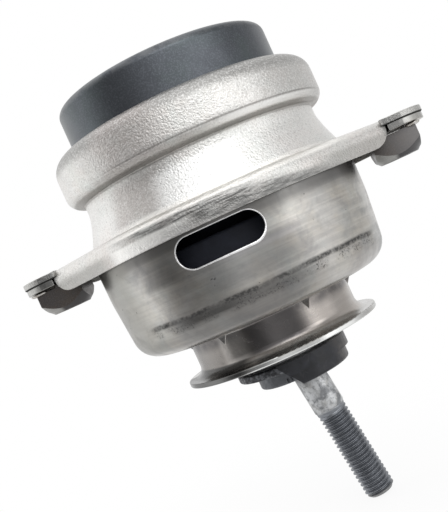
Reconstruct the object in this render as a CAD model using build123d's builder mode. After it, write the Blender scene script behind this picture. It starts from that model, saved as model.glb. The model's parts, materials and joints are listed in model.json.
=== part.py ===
from build123d import *
import math
import os

# Hydraulic engine mount: a canister of two pressed housings joined at an eared
# flange, a fluid chamber above, a sprung core and a stud below. Millimetres.
# Z runs along the canister, cap up and stud down. X runs through the two bolt
# holes. Z = 0 is the upper face of the ears, where the bracket sits.

# driving dimensions of the flange and its ears
upper_sheet = 2.5
lower_sheet = 2.6
neck_r = 47.9
flange_step = 9.1
hole_spacing = 141.0
ear_hole_r = 6.5
ear_half_width = 14.0
ear_straight_short_of_hole = 0.5
ear_tip_past_hole = 14.6
skirt_end_short_of_hole = 2.2
ear_corner_r = 13.8
skirt_depth = 9.5
skirt_end_r = 6.6
fold_r = 5.0
sheet_edge_r = 0.4
lower_inset = 2.8
lower_tip_short = 0.5
weld_lap = 1.0

# driving dimensions of the upper housing, stepped out from the neck
collar_step = 5.6
collar_height = 19.5
collar_bottom = 17.3
collar_shoulder_r = 7.0
collar_heel_r = 4.8
collar_root_r = 0.6
flare_drop = 4.8
flare_mid_step = 1.3
flare_mid_z = 7.8
flare_low_step = 2.8
flare_low_z = 3.8
flare_end_step = 4.4
flare_tuck = 0.3

# driving dimensions of the cap
cap_step_in = 4.7
cap_height = 17.2
cap_edge_r = 3.2
cap_wall = 2.0
cap_flange = 2.5
cap_vent_r = 1.5
lip_gap = 0.2

# driving dimensions of the lower housing
bowl_step_in = 2.9
bowl_mid_draw = 0.35
bowl_mid_z = -21.0
bowl_mid_turn_r = 53.75
bowl_low_draw = 2.7
bowl_floor_z = -46.7
bowl_turn_r = 9.2
throat_r = 32.75
throat_turn_r = 1.4
throat_height = 14.3
rim_step = 6.55
rim_turn_r = 4.2
rim_thick = 1.9
dart_count = 6
dart_first_deg = 0.0
dart_reach = 3.4
dart_drop = 5.6
dart_half_width = 3.2
dart_root = 0.6
slot_length = 32.0
slot_height = 11.6
slot_below_plate = 11.2

# driving dimensions of the square weld nuts
nut_flats = 18.0
nut_height = 9.5
nut_standoff = 0.9
nut_thread_r = 5.1
nut_pad = 4.0
nut_face_r = 7.5
nut_chamfer_rise = 4.7

# driving dimensions of the moving core, the end boss and the stud
travel_up = 4.0
travel_down = 4.0
stop_reserve = 0.6
core_top_z = 2.0
core_top_r = 11.0
core_top_round = 3.6
core_cone_r = 27.0
core_cone_low_z = -21.5
core_foot_height = 3.5
shaft_r = 16.0
boss_disc_r = 21.4
boss_disc_gap = 3.9
boss_disc_thick = 3.3
boss_r = 14.6
boss_height = 5.5
boss_edge_r = 0.9
boss_notch_r = 1.1
boss_notch_deg = -97.0
lobe_r = 22.0
lobe_skin_r = 23.6
lobe_skin_drop = 1.6
lobe_below_boss = 0.9
lobe_from_deg = -102.0
lobe_to_deg = 24.0
lobe_slant_top_x = -4.0
lobe_slant_low_x = 3.2
lobe_side_r = 1.8
lobe_edge_r = 0.9
stud_tilt_deg = 7.5
stud_cross_z = -42.5
stud_shank_drop = 18.0
stud_thread_drop = 36.8
stud_thread_r = 6.0
stud_shank_r = 6.3
stud_tip_chamfer = 1.3
stud_seat_depth = 22.0

# driving dimensions of the rubber spring and the stops
ring_wall = 2.0
ring_low_z = -9.0
ring_lip_width = 3.9
rubber_top_drop = 3.8
rubber_rim_width = 4.5
rubber_rim_step = 0.5
rubber_dip = 3.0
rubber_foot_rise = 2.5
rubber_lip_cover = 0.6
rubber_turn_r = 11.0
limiter_gap = 4.3
limiter_thick = 3.0
stop_edge_r = 1.3
bump_width = 6.5
rebound_inset = 2.5
rebound_width = 9.0
rebound_edge_r = 2.6
throat_gap = 6.35
sleeve_above_floor = 1.7
sleeve_above_rim = 1.4

# driving dimensions of the stack in the collar
ring_flange = 2.0
seal_thick = 1.0
track_rim = 3.5
track_cover = 2.0
stack_clear = 0.2
track_body_gap = 0.4
track_groove_wall = 0.6
track_groove_width = 4.4
track_groove_depth = 5.0
track_block_deg = 26.0
track_body_drop = 1.3
membrane_r = 24.0
membrane_thick = 2.8
membrane_play = 0.2
window_r = 3.2
window_circle_r = 14.0
window_count = 6
bellows_wall = 1.6
bellows_side_gap = 1.0
bellows_bead_lap = 2.8
bellows_fold_drop = 4.8
bellows_sag = 1.6

# radii and reaches that follow the neck, the bowl and the bolt holes
flange_r = neck_r + flange_step
collar_r = neck_r + collar_step
cap_r = neck_r - cap_step_in
flare_mid_r = neck_r + flare_mid_step
flare_low_r = neck_r + flare_low_step
flare_end_r = neck_r + flare_end_step
bowl_top_r = flange_r - bowl_step_in
bowl_mid_r = bowl_top_r - bowl_mid_draw
bowl_low_r = bowl_top_r - bowl_low_draw
rim_r = throat_r + rim_step
hole_x = hole_spacing / 2
ear_straight_x = hole_x - ear_straight_short_of_hole
ear_tip_x = hole_x + ear_tip_past_hole
skirt_end_x = hole_x - skirt_end_short_of_hole
neck_inner_r = neck_r - upper_sheet
collar_inner_r = collar_r - upper_sheet
stack_r = collar_inner_r - stack_clear
ring_inner_r = neck_inner_r - ring_wall
ring_lip_r = ring_inner_r - ring_lip_width
cap_inner_r = cap_r - cap_wall
track_body_r = ring_inner_r - track_body_gap
track_groove_r = track_body_r - track_groove_wall - track_groove_width / 2
track_end_deg = math.degrees(track_groove_width / 2 / track_groove_r)
throat_inner_r = throat_r - rim_thick
sleeve_r = throat_inner_r - throat_gap
limiter_r = bowl_low_r - lower_sheet - limiter_gap
bump_inner_r = limiter_r - bump_width
rebound_outer_r = limiter_r - rebound_inset
rebound_inner_r = rebound_outer_r - rebound_width
bellows_side_r = cap_inner_r - bellows_side_gap
bellows_bead_r = cap_inner_r + bellows_bead_lap

# heights that follow the sheets, the stack and the travel
plate_low_z = -upper_sheet - lower_sheet
bowl_top_z = plate_low_z + sheet_edge_r
slot_z = plate_low_z - slot_below_plate
nut_top = plate_low_z - nut_standoff
nut_low = nut_top - nut_height
collar_top = collar_bottom + collar_height
cap_top = collar_top + cap_height
flare_start = collar_bottom - flare_drop
flare_slope = (flare_low_r - flare_mid_r) / (flare_mid_z - flare_low_z)
flare_inner_drop = upper_sheet * math.tan(math.atan(flare_slope) / 2)
floor_z = collar_bottom + upper_sheet
lip_low_z = collar_top - upper_sheet
ring_top_z = floor_z + ring_flange
seal_top_z = ring_top_z + seal_thick
track_top_z = seal_top_z + track_rim
track_body_low_z = floor_z - track_body_drop
cover_top_z = track_top_z + track_cover
bead_top_z = lip_low_z - cap_flange
rubber_top_z = floor_z - rubber_top_drop
rim_top_z = bowl_floor_z - throat_height
rim_low_z = rim_top_z - rim_thick
bowl_inner_floor_z = bowl_floor_z + lower_sheet
boss_disc_top_z = rim_low_z - boss_disc_gap
boss_disc_low_z = boss_disc_top_z - boss_disc_thick
boss_low_z = boss_disc_low_z - boss_height
lobe_low_z = boss_low_z - lobe_below_boss
stud_thread_z = boss_low_z - stud_shank_drop
stud_tip_z = stud_thread_z - stud_thread_drop
sleeve_top_z = bowl_floor_z + sleeve_above_floor
sleeve_low_z = rim_low_z + sleeve_above_rim
core_foot_z = core_cone_low_z - core_foot_height
limiter_top_z = core_foot_z
limiter_low_z = core_foot_z - limiter_thick
bump_top_z = ring_low_z - travel_up - stop_reserve
rebound_low_z = bowl_inner_floor_z + travel_down + stop_reserve

# slopes of the core, the rubber and the stud
core_slope = (core_cone_r - core_top_r) / (core_cone_low_z - core_top_z)
rubber_high_z = core_top_z - core_top_round
rubber_foot_z = core_cone_low_z + rubber_foot_rise
rubber_high_r = core_top_r + core_slope * (rubber_high_z - core_top_z)
rubber_foot_r = core_top_r + core_slope * (rubber_foot_z - core_top_z)
rubber_top_mid_r = (core_top_r + ring_inner_r) / 2
rubber_low_mid_r = (core_cone_r + ring_lip_r) / 2
rubber_dip_z = core_top_z + rubber_dip
rubber_low_mid_z = ring_low_z - rubber_rim_step
tilt = math.radians(stud_tilt_deg)
stud_seat_z = boss_disc_top_z + stud_seat_depth
stud_seat_length = (stud_seat_z - stud_thread_z) / math.cos(tilt)
stud_thread_length = (stud_thread_z - stud_tip_z) / math.cos(tilt)
bellows_fold_z = cap_top - cap_wall - cap_edge_r
bellows_mid_r = bellows_side_r / 2
bellows_step = 2 * bellows_wall
bellows_mid_z = bellows_fold_z - bellows_fold_drop
bellows_low_z = bellows_mid_z - bellows_sag


def tangent_point(inset):
    """Where a straight side of the ear outline meets the round middle."""
    r = flange_r - inset
    w = ear_half_width - inset
    turn = math.atan2(w, ear_straight_x) + math.acos(r / math.hypot(ear_straight_x, w))
    return r * math.cos(turn), r * math.sin(turn)


def ear_points(inset, tip_x, side):
    """One ear of the outline as a closed loop. Side is 1 for +X and -1 for -X."""
    tx, ty = tangent_point(inset)
    w = ear_half_width - inset
    half = [(0, ty), (tx, ty), (ear_straight_x, w), (tip_x, w)]
    loop = half + [(x, -y) for x, y in reversed(half)]
    return [(side * x, y) for x, y in loop]


def stud_x(z):
    """Where the leaning stud axis is at height z."""
    return (stud_cross_z - z) * math.tan(tilt)


def stud_plane(z):
    """A plane square to the leaning stud axis, facing the tip."""
    return Plane(origin=(stud_x(z), 0, z), x_dir=(math.cos(tilt), 0, math.sin(tilt)),
                 z_dir=(math.sin(tilt), 0, -math.cos(tilt)))


def on_circle(r, deg):
    """A point of a circle round the canister axis."""
    return r * math.cos(math.radians(deg)), r * math.sin(math.radians(deg))


def near(shape_list, r, z):
    """The sketch corner nearest to a radius and a height."""
    return shape_list.sort_by_distance((r, z, 0))[0]


os.makedirs("parts", exist_ok=True)

# upper housing: collar, neck, flare, flange and folded skirt, all one sheet
with BuildPart() as skirt_solid:
    with BuildSketch(Plane.XY.offset(-skirt_depth)):
        Circle(flange_r)
        for side in (1, -1):
            Polygon(*ear_points(0, ear_tip_x, side), align=None)
    extrude(amount=skirt_depth)
    fillet(skirt_solid.faces().sort_by(Axis.Z)[-1].edges(), fold_r)

with BuildPart() as skirt_core:
    with BuildSketch(Plane.XY.offset(-skirt_depth - upper_sheet)):
        Circle(flange_r - upper_sheet)
        for side in (1, -1):
            Polygon(*ear_points(upper_sheet, ear_tip_x + upper_sheet, side), align=None)
    extrude(amount=skirt_depth)
    fillet(skirt_core.faces().sort_by(Axis.Z)[-1].edges(), fold_r - upper_sheet)

# flat ears beyond the skirt, round about the bolt holes
with BuildPart() as upper_ears:
    with BuildSketch(Plane.XY.offset(-upper_sheet)) as upper_ear_plan:
        for side in (1, -1):
            Polygon(*ear_points(0, ear_tip_x, side), align=None)
        fillet(upper_ear_plan.vertices().group_by(Axis.X)[-1], ear_corner_r)
        fillet(upper_ear_plan.vertices().group_by(Axis.X)[0], ear_corner_r)
    extrude(amount=upper_sheet)
    fillet(upper_ears.edges().group_by(Axis.Z)[0], sheet_edge_r)
    fillet(upper_ears.edges().group_by(Axis.Z)[-1], sheet_edge_r)
    with BuildSketch(Plane.XY.offset(-skirt_depth)):
        Rectangle(2 * (skirt_end_x - weld_lap), 2 * flange_r)
    extrude(amount=2 * skirt_depth, mode=Mode.SUBTRACT)

with BuildPart() as upper_housing:
    add(skirt_solid.part)
    add(skirt_core.part, mode=Mode.SUBTRACT)
    # the skirt stops short of the ears with a rounded end, seen from the front
    with BuildSketch(Plane.XZ) as skirt_window:
        Rectangle(2 * skirt_end_x, skirt_depth * 2)
        fillet(skirt_window.vertices().group_by(Axis.Y)[0], skirt_end_r)
        with Locations((0, skirt_depth / 2)):
            Rectangle(2 * skirt_end_x, skirt_depth, mode=Mode.SUBTRACT)
    extrude(amount=flange_r * 2, both=True, mode=Mode.INTERSECT)
    add(upper_ears.part)
    # room for the neck, then the revolved sheet of the collar, neck and flare
    with BuildSketch(Plane.XY.offset(-skirt_depth)):
        Circle(flare_end_r)
    extrude(amount=2 * skirt_depth, mode=Mode.SUBTRACT)
    with BuildSketch(Plane.XZ) as upper_section:
        with BuildLine():
            Polyline((cap_r + lip_gap, collar_top), (collar_r, collar_top),
                     (collar_r, collar_bottom), (neck_r, collar_bottom),
                     (neck_r, flare_start), (flare_mid_r, flare_mid_z),
                     (flare_low_r, flare_low_z), (flare_end_r, -flare_tuck),
                     (flare_end_r + weld_lap, -flare_tuck),
                     (flare_end_r + weld_lap, -upper_sheet),
                     (flare_end_r - upper_sheet + flare_tuck, -upper_sheet),
                     (flare_low_r - upper_sheet, flare_low_z - flare_inner_drop),
                     (flare_mid_r - upper_sheet, flare_mid_z - flare_inner_drop),
                     (neck_inner_r, flare_start - flare_inner_drop), (neck_inner_r, floor_z),
                     (collar_inner_r, floor_z), (collar_inner_r, lip_low_z),
                     (cap_r + lip_gap, lip_low_z), close=True)
        make_face()
        fillet(near(upper_section.vertices(), collar_r, collar_top), collar_shoulder_r)
        fillet(near(upper_section.vertices(), collar_r, collar_bottom), collar_heel_r)
        fillet(near(upper_section.vertices(), collar_inner_r, lip_low_z), upper_sheet)
        fillet(near(upper_section.vertices(), neck_r, collar_bottom), collar_root_r)
        fillet(near(upper_section.vertices(), neck_r, flare_start), flare_start)
    revolve(axis=Axis.Z)
    with Locations((hole_x, 0, 0), (-hole_x, 0, 0)):
        Hole(ear_hole_r)
upper_housing.part.label = "upper_housing"
export_step(upper_housing.part, "parts/upper_housing.step")

# full-width tips of the lower ears
with BuildPart() as lower_ears:
    with BuildSketch(Plane.XY.offset(plate_low_z)) as lower_ear_plan:
        for side in (1, -1):
            Polygon(*ear_points(0, ear_tip_x - lower_tip_short, side), align=None)
        fillet(lower_ear_plan.vertices().group_by(Axis.X)[-1], ear_corner_r)
        fillet(lower_ear_plan.vertices().group_by(Axis.X)[0], ear_corner_r)
    extrude(amount=lower_sheet)
    fillet(lower_ears.edges().group_by(Axis.Z)[0], sheet_edge_r)
    fillet(lower_ears.edges().group_by(Axis.Z)[-1], sheet_edge_r)
    with BuildSketch(Plane.XY.offset(plate_low_z - lower_sheet)):
        Rectangle(2 * (skirt_end_x + weld_lap), 2 * flange_r)
    extrude(amount=lower_sheet * 3, mode=Mode.SUBTRACT)

# one pressed dart: a ridge from under the bowl floor to a point on the throat
with BuildPart() as dart:
    with BuildSketch(Plane.XY.offset(bowl_floor_z + dart_root)) as dart_top:
        Polygon((throat_r - dart_root, -dart_half_width), (throat_r + dart_reach, 0),
                (throat_r - dart_root, dart_half_width), align=None)
    loft(sections=[dart_top.sketch.face(), Vertex(throat_r - dart_root, 0, bowl_floor_z - dart_drop)])

# lower housing: ear plate, bowl, throat and rim, all one drawn sheet
with BuildPart() as lower_housing:
    with BuildSketch(Plane.XY.offset(plate_low_z)) as lower_plan:
        Circle(flange_r - lower_inset)
        for side in (1, -1):
            Polygon(*ear_points(lower_inset, ear_tip_x - lower_inset, side), align=None)
        fillet(lower_plan.vertices().group_by(Axis.X)[-1], ear_corner_r - lower_inset)
        fillet(lower_plan.vertices().group_by(Axis.X)[0], ear_corner_r - lower_inset)
    extrude(amount=lower_sheet)
    fillet(lower_housing.faces().sort_by(Axis.Z)[-1].edges(), fold_r - upper_sheet)
    add(lower_ears.part)
    with BuildSketch(Plane.XY.offset(plate_low_z - lower_sheet)):
        Circle(bowl_top_r - lower_sheet)
    extrude(amount=lower_sheet * 3, mode=Mode.SUBTRACT)
    with BuildSketch(Plane.XZ) as bowl_section:
        with BuildLine():
            Polyline((bowl_top_r, bowl_top_z), (bowl_mid_r, bowl_mid_z),
                     (bowl_low_r, bowl_floor_z), (throat_r, bowl_floor_z),
                     (throat_r, rim_top_z), (rim_r, rim_top_z), (rim_r, rim_low_z),
                     (throat_inner_r, rim_low_z), (throat_inner_r, bowl_inner_floor_z),
                     (bowl_low_r - lower_sheet, bowl_inner_floor_z),
                     (bowl_mid_r - lower_sheet, bowl_mid_z),
                     (bowl_top_r - lower_sheet, bowl_top_z), close=True)
        make_face()
        fillet(near(bowl_section.vertices(), bowl_low_r, bowl_floor_z), bowl_turn_r)
        fillet(near(bowl_section.vertices(), bowl_low_r - lower_sheet, bowl_inner_floor_z),
               bowl_turn_r - lower_sheet)
        fillet(near(bowl_section.vertices(), throat_r, bowl_floor_z), throat_turn_r)
        fillet(near(bowl_section.vertices(), throat_inner_r, bowl_inner_floor_z),
               throat_turn_r + lower_sheet)
        fillet(near(bowl_section.vertices(), throat_r, rim_top_z), rim_turn_r)
        fillet(near(bowl_section.vertices(), throat_inner_r, rim_low_z),
               rim_turn_r + rim_thick)
        fillet(near(bowl_section.vertices(), bowl_mid_r, bowl_mid_z), bowl_mid_turn_r)
        fillet(near(bowl_section.vertices(), rim_r, rim_low_z), sheet_edge_r)
        fillet(near(bowl_section.vertices(), rim_r, rim_top_z), sheet_edge_r)
    revolve(axis=Axis.Z)
    for k in range(dart_count):
        add(dart.part, rotation=(0, 0, dart_first_deg + k * 360 / dart_count))
    with BuildSketch(Plane.XZ):
        with Locations((0, slot_z)):
            SlotOverall(slot_length, slot_height)
    extrude(amount=flange_r, mode=Mode.SUBTRACT)
    with Locations((hole_x, 0, -upper_sheet), (-hole_x, 0, -upper_sheet)):
        Hole(ear_hole_r)
lower_housing.part.label = "lower_housing"
export_step(lower_housing.part, "parts/lower_housing.step")

# square weld nuts: a turned blank whose cone cuts the corners at the lower face
with BuildPart() as nut_blank:
    with BuildSketch(Plane.XZ):
        with BuildLine():
            Polyline((0, nut_top), (nut_flats, nut_top), (nut_flats, nut_low + nut_chamfer_rise),
                     (nut_flats / math.sqrt(2), nut_low + nut_chamfer_rise),
                     (nut_face_r, nut_low), (0, nut_low), close=True)
        make_face()
    revolve(axis=Axis.Z)

# the nuts stand off the ears on four corner projections
for nut_name, nut_x in (("weld_nut_left", -hole_x), ("weld_nut_right", hole_x)):
    with BuildPart() as weld_nut:
        with BuildSketch(Plane.XY.offset(nut_low)):
            with Locations((nut_x, 0)):
                Rectangle(nut_flats, nut_flats)
        extrude(amount=nut_height)
        with Locations((nut_x, 0, 0)):
            add(nut_blank.part, mode=Mode.INTERSECT)
        with BuildSketch(Plane.XY.offset(nut_top)):
            with Locations((nut_x, 0)):
                with GridLocations(nut_flats - nut_pad, nut_flats - nut_pad, 2, 2):
                    Rectangle(nut_pad, nut_pad)
        extrude(amount=nut_standoff)
        with Locations((nut_x, 0, nut_top)):
            Hole(nut_thread_r)
    weld_nut.part.label = nut_name
    export_step(weld_nut.part, "parts/" + nut_name + ".step")

# black cap: a flanged cup held under the rolled lip, with one vent hole
with BuildPart() as reservoir_cap:
    with BuildSketch(Plane.XZ) as cap_section:
        with BuildLine():
            Polyline((0, cap_top), (cap_r, cap_top), (cap_r, lip_low_z),
                     (stack_r, lip_low_z), (stack_r, bead_top_z),
                     (cap_inner_r, bead_top_z), (cap_inner_r, cap_top - cap_wall),
                     (0, cap_top - cap_wall), close=True)
        make_face()
        fillet(near(cap_section.vertices(), cap_r, cap_top), cap_edge_r)
        fillet(near(cap_section.vertices(), cap_inner_r, cap_top - cap_wall),
               cap_edge_r - cap_wall / 2)
        fillet(near(cap_section.vertices(), stack_r, lip_low_z), cap_flange - stack_clear)
    revolve(axis=Axis.Z)
    with Locations((0, 0, cap_top)):
        Hole(cap_vent_r)
reservoir_cap.part.label = "reservoir_cap"
export_step(reservoir_cap.part, "parts/reservoir_cap.step")

# bonded outer ring: flange in the collar, sleeve in the neck, lip below
with BuildPart() as outer_ring:
    with BuildSketch(Plane.XZ) as ring_section:
        with BuildLine():
            Polyline((neck_inner_r, ring_low_z), (neck_inner_r, floor_z), (stack_r, floor_z),
                     (stack_r, ring_top_z), (ring_inner_r, ring_top_z),
                     (ring_inner_r, ring_low_z + ring_wall),
                     (ring_lip_r, ring_low_z + ring_wall), (ring_lip_r, ring_low_z), close=True)
        make_face()
        fillet(near(ring_section.vertices(), neck_inner_r, ring_low_z), ring_wall)
    revolve(axis=Axis.Z)
outer_ring.part.label = "outer_ring"
export_step(outer_ring.part, "parts/outer_ring.step")

# cast core: a cone for the rubber and a shaft down through the throat
with BuildPart() as core:
    with BuildSketch(Plane.XZ) as core_section:
        with BuildLine():
            Polyline((0, core_top_z), (core_top_r, core_top_z),
                     (core_cone_r, core_cone_low_z), (core_cone_r, core_foot_z),
                     (shaft_r, core_foot_z), (shaft_r, boss_disc_top_z),
                     (0, boss_disc_top_z), close=True)
        make_face()
        fillet(near(core_section.vertices(), core_top_r, core_top_z), core_top_round)
    revolve(axis=Axis.Z)
    # seat for the leaning stud
    with BuildSketch(stud_plane(stud_seat_z)):
        Circle(stud_shank_r)
    extrude(amount=stud_seat_length, mode=Mode.SUBTRACT)
core.part.label = "core"
export_step(core.part, "parts/core.step")

# end boss: the mottled disc and the smaller boss that the stud leaves
with BuildPart() as end_boss:
    with BuildSketch(Plane.XY.offset(boss_disc_low_z)):
        Circle(boss_disc_r)
    extrude(amount=boss_disc_top_z - boss_disc_low_z)
    with BuildSketch(Plane.XY.offset(boss_low_z)):
        Circle(boss_r)
    extrude(amount=boss_disc_low_z - boss_low_z)
    boss_rims = end_boss.edges().filter_by(GeomType.CIRCLE)
    fillet(boss_rims.group_by(Axis.Z)[0], boss_edge_r)
    fillet(boss_rims.sort_by(SortBy.RADIUS)[-2:], boss_edge_r)
    # small pry notch in the lower edge, beside the lobe
    with BuildSketch(Plane.XY.offset(boss_low_z)):
        with Locations(on_circle(boss_r, boss_notch_deg)):
            Circle(boss_notch_r)
    extrude(amount=boss_notch_r * 2, mode=Mode.SUBTRACT)
    with BuildSketch(stud_plane(stud_seat_z)):
        Circle(stud_shank_r)
    extrude(amount=stud_seat_length, mode=Mode.SUBTRACT)
end_boss.part.label = "end_boss"
export_step(end_boss.part, "parts/end_boss.step")

# rubber lobe: a locating block moulded over the front right of the disc and boss
with BuildPart() as boss_lobe:
    for r, low_z, high_z in ((lobe_r, lobe_low_z, boss_disc_top_z),
                             (lobe_skin_r, boss_disc_low_z - lobe_skin_drop, boss_disc_top_z)):
        with BuildSketch(Plane.XY.offset(low_z)) as lobe_plan:
            lobe_start = on_circle(r, lobe_from_deg)
            lobe_end = on_circle(r, lobe_to_deg)
            with BuildLine():
                ThreePointArc(lobe_start, on_circle(r, (lobe_from_deg + lobe_to_deg) / 2), lobe_end)
                Line(lobe_end, (0, 0))
                Line((0, 0), lobe_start)
            make_face()
            fillet(lobe_plan.vertices().group_by(SortBy.DISTANCE)[-1], lobe_side_r)
        extrude(amount=high_z - low_z)
    fillet(boss_lobe.faces().sort_by(Axis.Z)[0].edges(), lobe_edge_r)
    # the left end slants, so that the lobe is shorter below than above
    with BuildSketch(Plane.XZ):
        Polygon((lobe_slant_top_x, boss_disc_top_z), (lobe_slant_low_x, lobe_low_z),
                (-lobe_skin_r, lobe_low_z), (-lobe_skin_r, boss_disc_top_z), align=None)
    extrude(amount=lobe_skin_r, mode=Mode.SUBTRACT)
    with BuildSketch(Plane.XY.offset(boss_disc_low_z)):
        Circle(boss_disc_r)
    extrude(amount=boss_disc_thick, mode=Mode.SUBTRACT)
    with BuildSketch(Plane.XY.offset(boss_low_z)):
        Circle(boss_r)
    extrude(amount=boss_height, mode=Mode.SUBTRACT)
    with BuildSketch(stud_plane(boss_disc_top_z)):
        Circle(stud_shank_r)
    extrude(amount=stud_seat_depth, mode=Mode.SUBTRACT)
boss_lobe.part.label = "boss_lobe"
export_step(boss_lobe.part, "parts/boss_lobe.step")

# stud: plain shank in the core, coarse thread blank and chamfered tip
with BuildPart() as stud:
    with BuildSketch(stud_plane(stud_seat_z)):
        Circle(stud_shank_r)
    extrude(amount=stud_seat_length)
    with BuildSketch(stud_plane(stud_thread_z)):
        Circle(stud_thread_r)
    extrude(amount=stud_thread_length)
    chamfer(stud.edges().sort_by(Axis.Z)[:1], stud_tip_chamfer)
stud.part.label = "stud"
export_step(stud.part, "parts/stud.step")

# main rubber spring: a thick cone between the core and the outer ring
with BuildPart() as main_rubber:
    with BuildSketch(Plane.XZ) as rubber_section:
        with BuildLine():
            Polyline((rubber_high_r, rubber_high_z), (rubber_foot_r, rubber_foot_z),
                     (rubber_low_mid_r, rubber_low_mid_z),
                     (ring_lip_r - rubber_lip_cover, ring_low_z + ring_wall),
                     (ring_inner_r, ring_low_z + ring_wall), (ring_inner_r, rubber_top_z),
                     (ring_inner_r - rubber_rim_width, rubber_top_z - rubber_rim_step),
                     (rubber_top_mid_r, rubber_dip_z), close=True)
        make_face()
        fillet(near(rubber_section.vertices(), rubber_top_mid_r, rubber_dip_z), rubber_turn_r)
        fillet(near(rubber_section.vertices(), rubber_low_mid_r, rubber_low_mid_z),
               rubber_turn_r / 2)
    revolve(axis=Axis.Z)
main_rubber.part.label = "main_rubber"
export_step(main_rubber.part, "parts/main_rubber.step")

# travel limiter: steel disc on the shaft with a rubber ring on each face
with BuildPart() as limiter_plate:
    with BuildSketch(Plane.XY.offset(limiter_low_z)):
        Circle(limiter_r)
        Circle(shaft_r, mode=Mode.SUBTRACT)
    extrude(amount=limiter_thick)
limiter_plate.part.label = "limiter_plate"
export_step(limiter_plate.part, "parts/limiter_plate.step")

with BuildPart() as bump_bumper:
    with BuildSketch(Plane.XY.offset(limiter_top_z)):
        Circle(limiter_r)
        Circle(bump_inner_r, mode=Mode.SUBTRACT)
    extrude(amount=bump_top_z - limiter_top_z)
    fillet(bump_bumper.edges().group_by(Axis.Z)[-1], stop_edge_r)
bump_bumper.part.label = "bump_bumper"
export_step(bump_bumper.part, "parts/bump_bumper.step")

with BuildPart() as rebound_bumper:
    with BuildSketch(Plane.XY.offset(rebound_low_z)):
        Circle(rebound_outer_r)
        Circle(rebound_inner_r, mode=Mode.SUBTRACT)
    extrude(amount=limiter_low_z - rebound_low_z)
    fillet(rebound_bumper.edges().group_by(Axis.Z)[0], rebound_edge_r)
rebound_bumper.part.label = "rebound_bumper"
export_step(rebound_bumper.part, "parts/rebound_bumper.step")

with BuildPart() as throat_sleeve:
    with BuildSketch(Plane.XY.offset(sleeve_low_z)):
        Circle(sleeve_r)
        Circle(shaft_r, mode=Mode.SUBTRACT)
    extrude(amount=sleeve_top_z - sleeve_low_z)
    sleeve_rims = throat_sleeve.edges().filter_by(GeomType.CIRCLE).sort_by(SortBy.RADIUS)[-2:]
    fillet(sleeve_rims, stop_edge_r)
throat_sleeve.part.label = "throat_sleeve"
export_step(throat_sleeve.part, "parts/throat_sleeve.step")

# stack in the collar: seal, track body, cover, membrane and bellows
with BuildPart() as seal_ring:
    with BuildSketch(Plane.XY.offset(ring_top_z)):
        Circle(stack_r)
        Circle(ring_inner_r, mode=Mode.SUBTRACT)
    extrude(amount=seal_thick)
seal_ring.part.label = "seal_ring"
export_step(seal_ring.part, "parts/seal_ring.step")

with BuildPart() as track_body:
    with BuildSketch(Plane.XZ):
        with BuildLine():
            Polyline((0, track_top_z), (stack_r, track_top_z), (stack_r, seal_top_z),
                     (track_body_r, seal_top_z), (track_body_r, track_body_low_z),
                     (0, track_body_low_z), close=True)
        make_face()
    revolve(axis=Axis.Z)
    # ring-shaped track for the fluid, open on top and stopped by one block
    with BuildSketch(Plane.XZ):
        with Locations((track_groove_r, track_top_z - track_groove_depth / 2)):
            Rectangle(track_groove_width, track_groove_depth)
    revolve(axis=Axis.Z, revolution_arc=360 - track_block_deg, mode=Mode.SUBTRACT)
    # entry from the lower chamber at one end of the track
    with BuildSketch(Plane.XY.offset(track_body_low_z)):
        with Locations(on_circle(track_groove_r, -track_block_deg)):
            Circle(track_groove_width / 2)
    extrude(amount=track_top_z - track_body_low_z, mode=Mode.SUBTRACT)
    # pocket for the membrane and the windows under it
    with Locations((0, 0, track_top_z)):
        CounterBoreHole(window_r, membrane_r, membrane_thick + membrane_play)
        with PolarLocations(window_circle_r, window_count):
            Hole(window_r)
track_body.part.label = "track_body"
export_step(track_body.part, "parts/track_body.step")

with BuildPart() as track_lid:
    with BuildSketch(Plane.XY.offset(track_top_z)):
        Circle(stack_r)
        Circle(window_r, mode=Mode.SUBTRACT)
        with PolarLocations(window_circle_r, window_count):
            Circle(window_r, mode=Mode.SUBTRACT)
        # exit into the reservoir at the other end of the track
        with Locations(on_circle(track_groove_r, track_end_deg)):
            Circle(track_groove_width / 2, mode=Mode.SUBTRACT)
    extrude(amount=track_cover)
track_lid.part.label = "track_lid"
export_step(track_lid.part, "parts/track_lid.step")

with BuildPart() as membrane:
    with BuildSketch(Plane.XY.offset(track_top_z - membrane_thick - membrane_play / 2)):
        Circle(membrane_r - membrane_play)
    extrude(amount=membrane_thick)
membrane.part.label = "membrane"
export_step(membrane.part, "parts/membrane.step")

with BuildPart() as bellows:
    with BuildSketch(Plane.XZ) as bellows_section:
        with BuildLine():
            Polyline((bellows_bead_r, cover_top_z), (stack_r, cover_top_z), (stack_r, bead_top_z),
                     (bellows_bead_r, bead_top_z), (bellows_bead_r, cover_top_z + bellows_step),
                     (bellows_side_r, cover_top_z + bellows_step),
                     (bellows_side_r, bellows_fold_z), (bellows_mid_r, bellows_mid_z),
                     (0, bellows_low_z), (0, bellows_low_z - bellows_wall),
                     (bellows_mid_r, bellows_mid_z - bellows_wall),
                     (bellows_side_r - bellows_wall, bellows_fold_z - bellows_wall),
                     (bellows_side_r - bellows_wall, cover_top_z + bellows_wall),
                     (bellows_bead_r, cover_top_z + bellows_wall), close=True)
        make_face()
        fillet(near(bellows_section.vertices(), bellows_side_r, bellows_fold_z),
               bellows_fold_drop)
        fillet(near(bellows_section.vertices(), bellows_side_r - bellows_wall,
                    bellows_fold_z - bellows_wall), bellows_fold_drop - bellows_wall)
    revolve(axis=Axis.Z)
bellows.part.label = "bellows"
export_step(bellows.part, "parts/bellows.step")
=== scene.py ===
import json
import math

import bpy
import numpy as np
from bpy.props import FloatProperty, FloatVectorProperty, IntProperty, PointerProperty
from mathutils import Matrix, Vector


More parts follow.
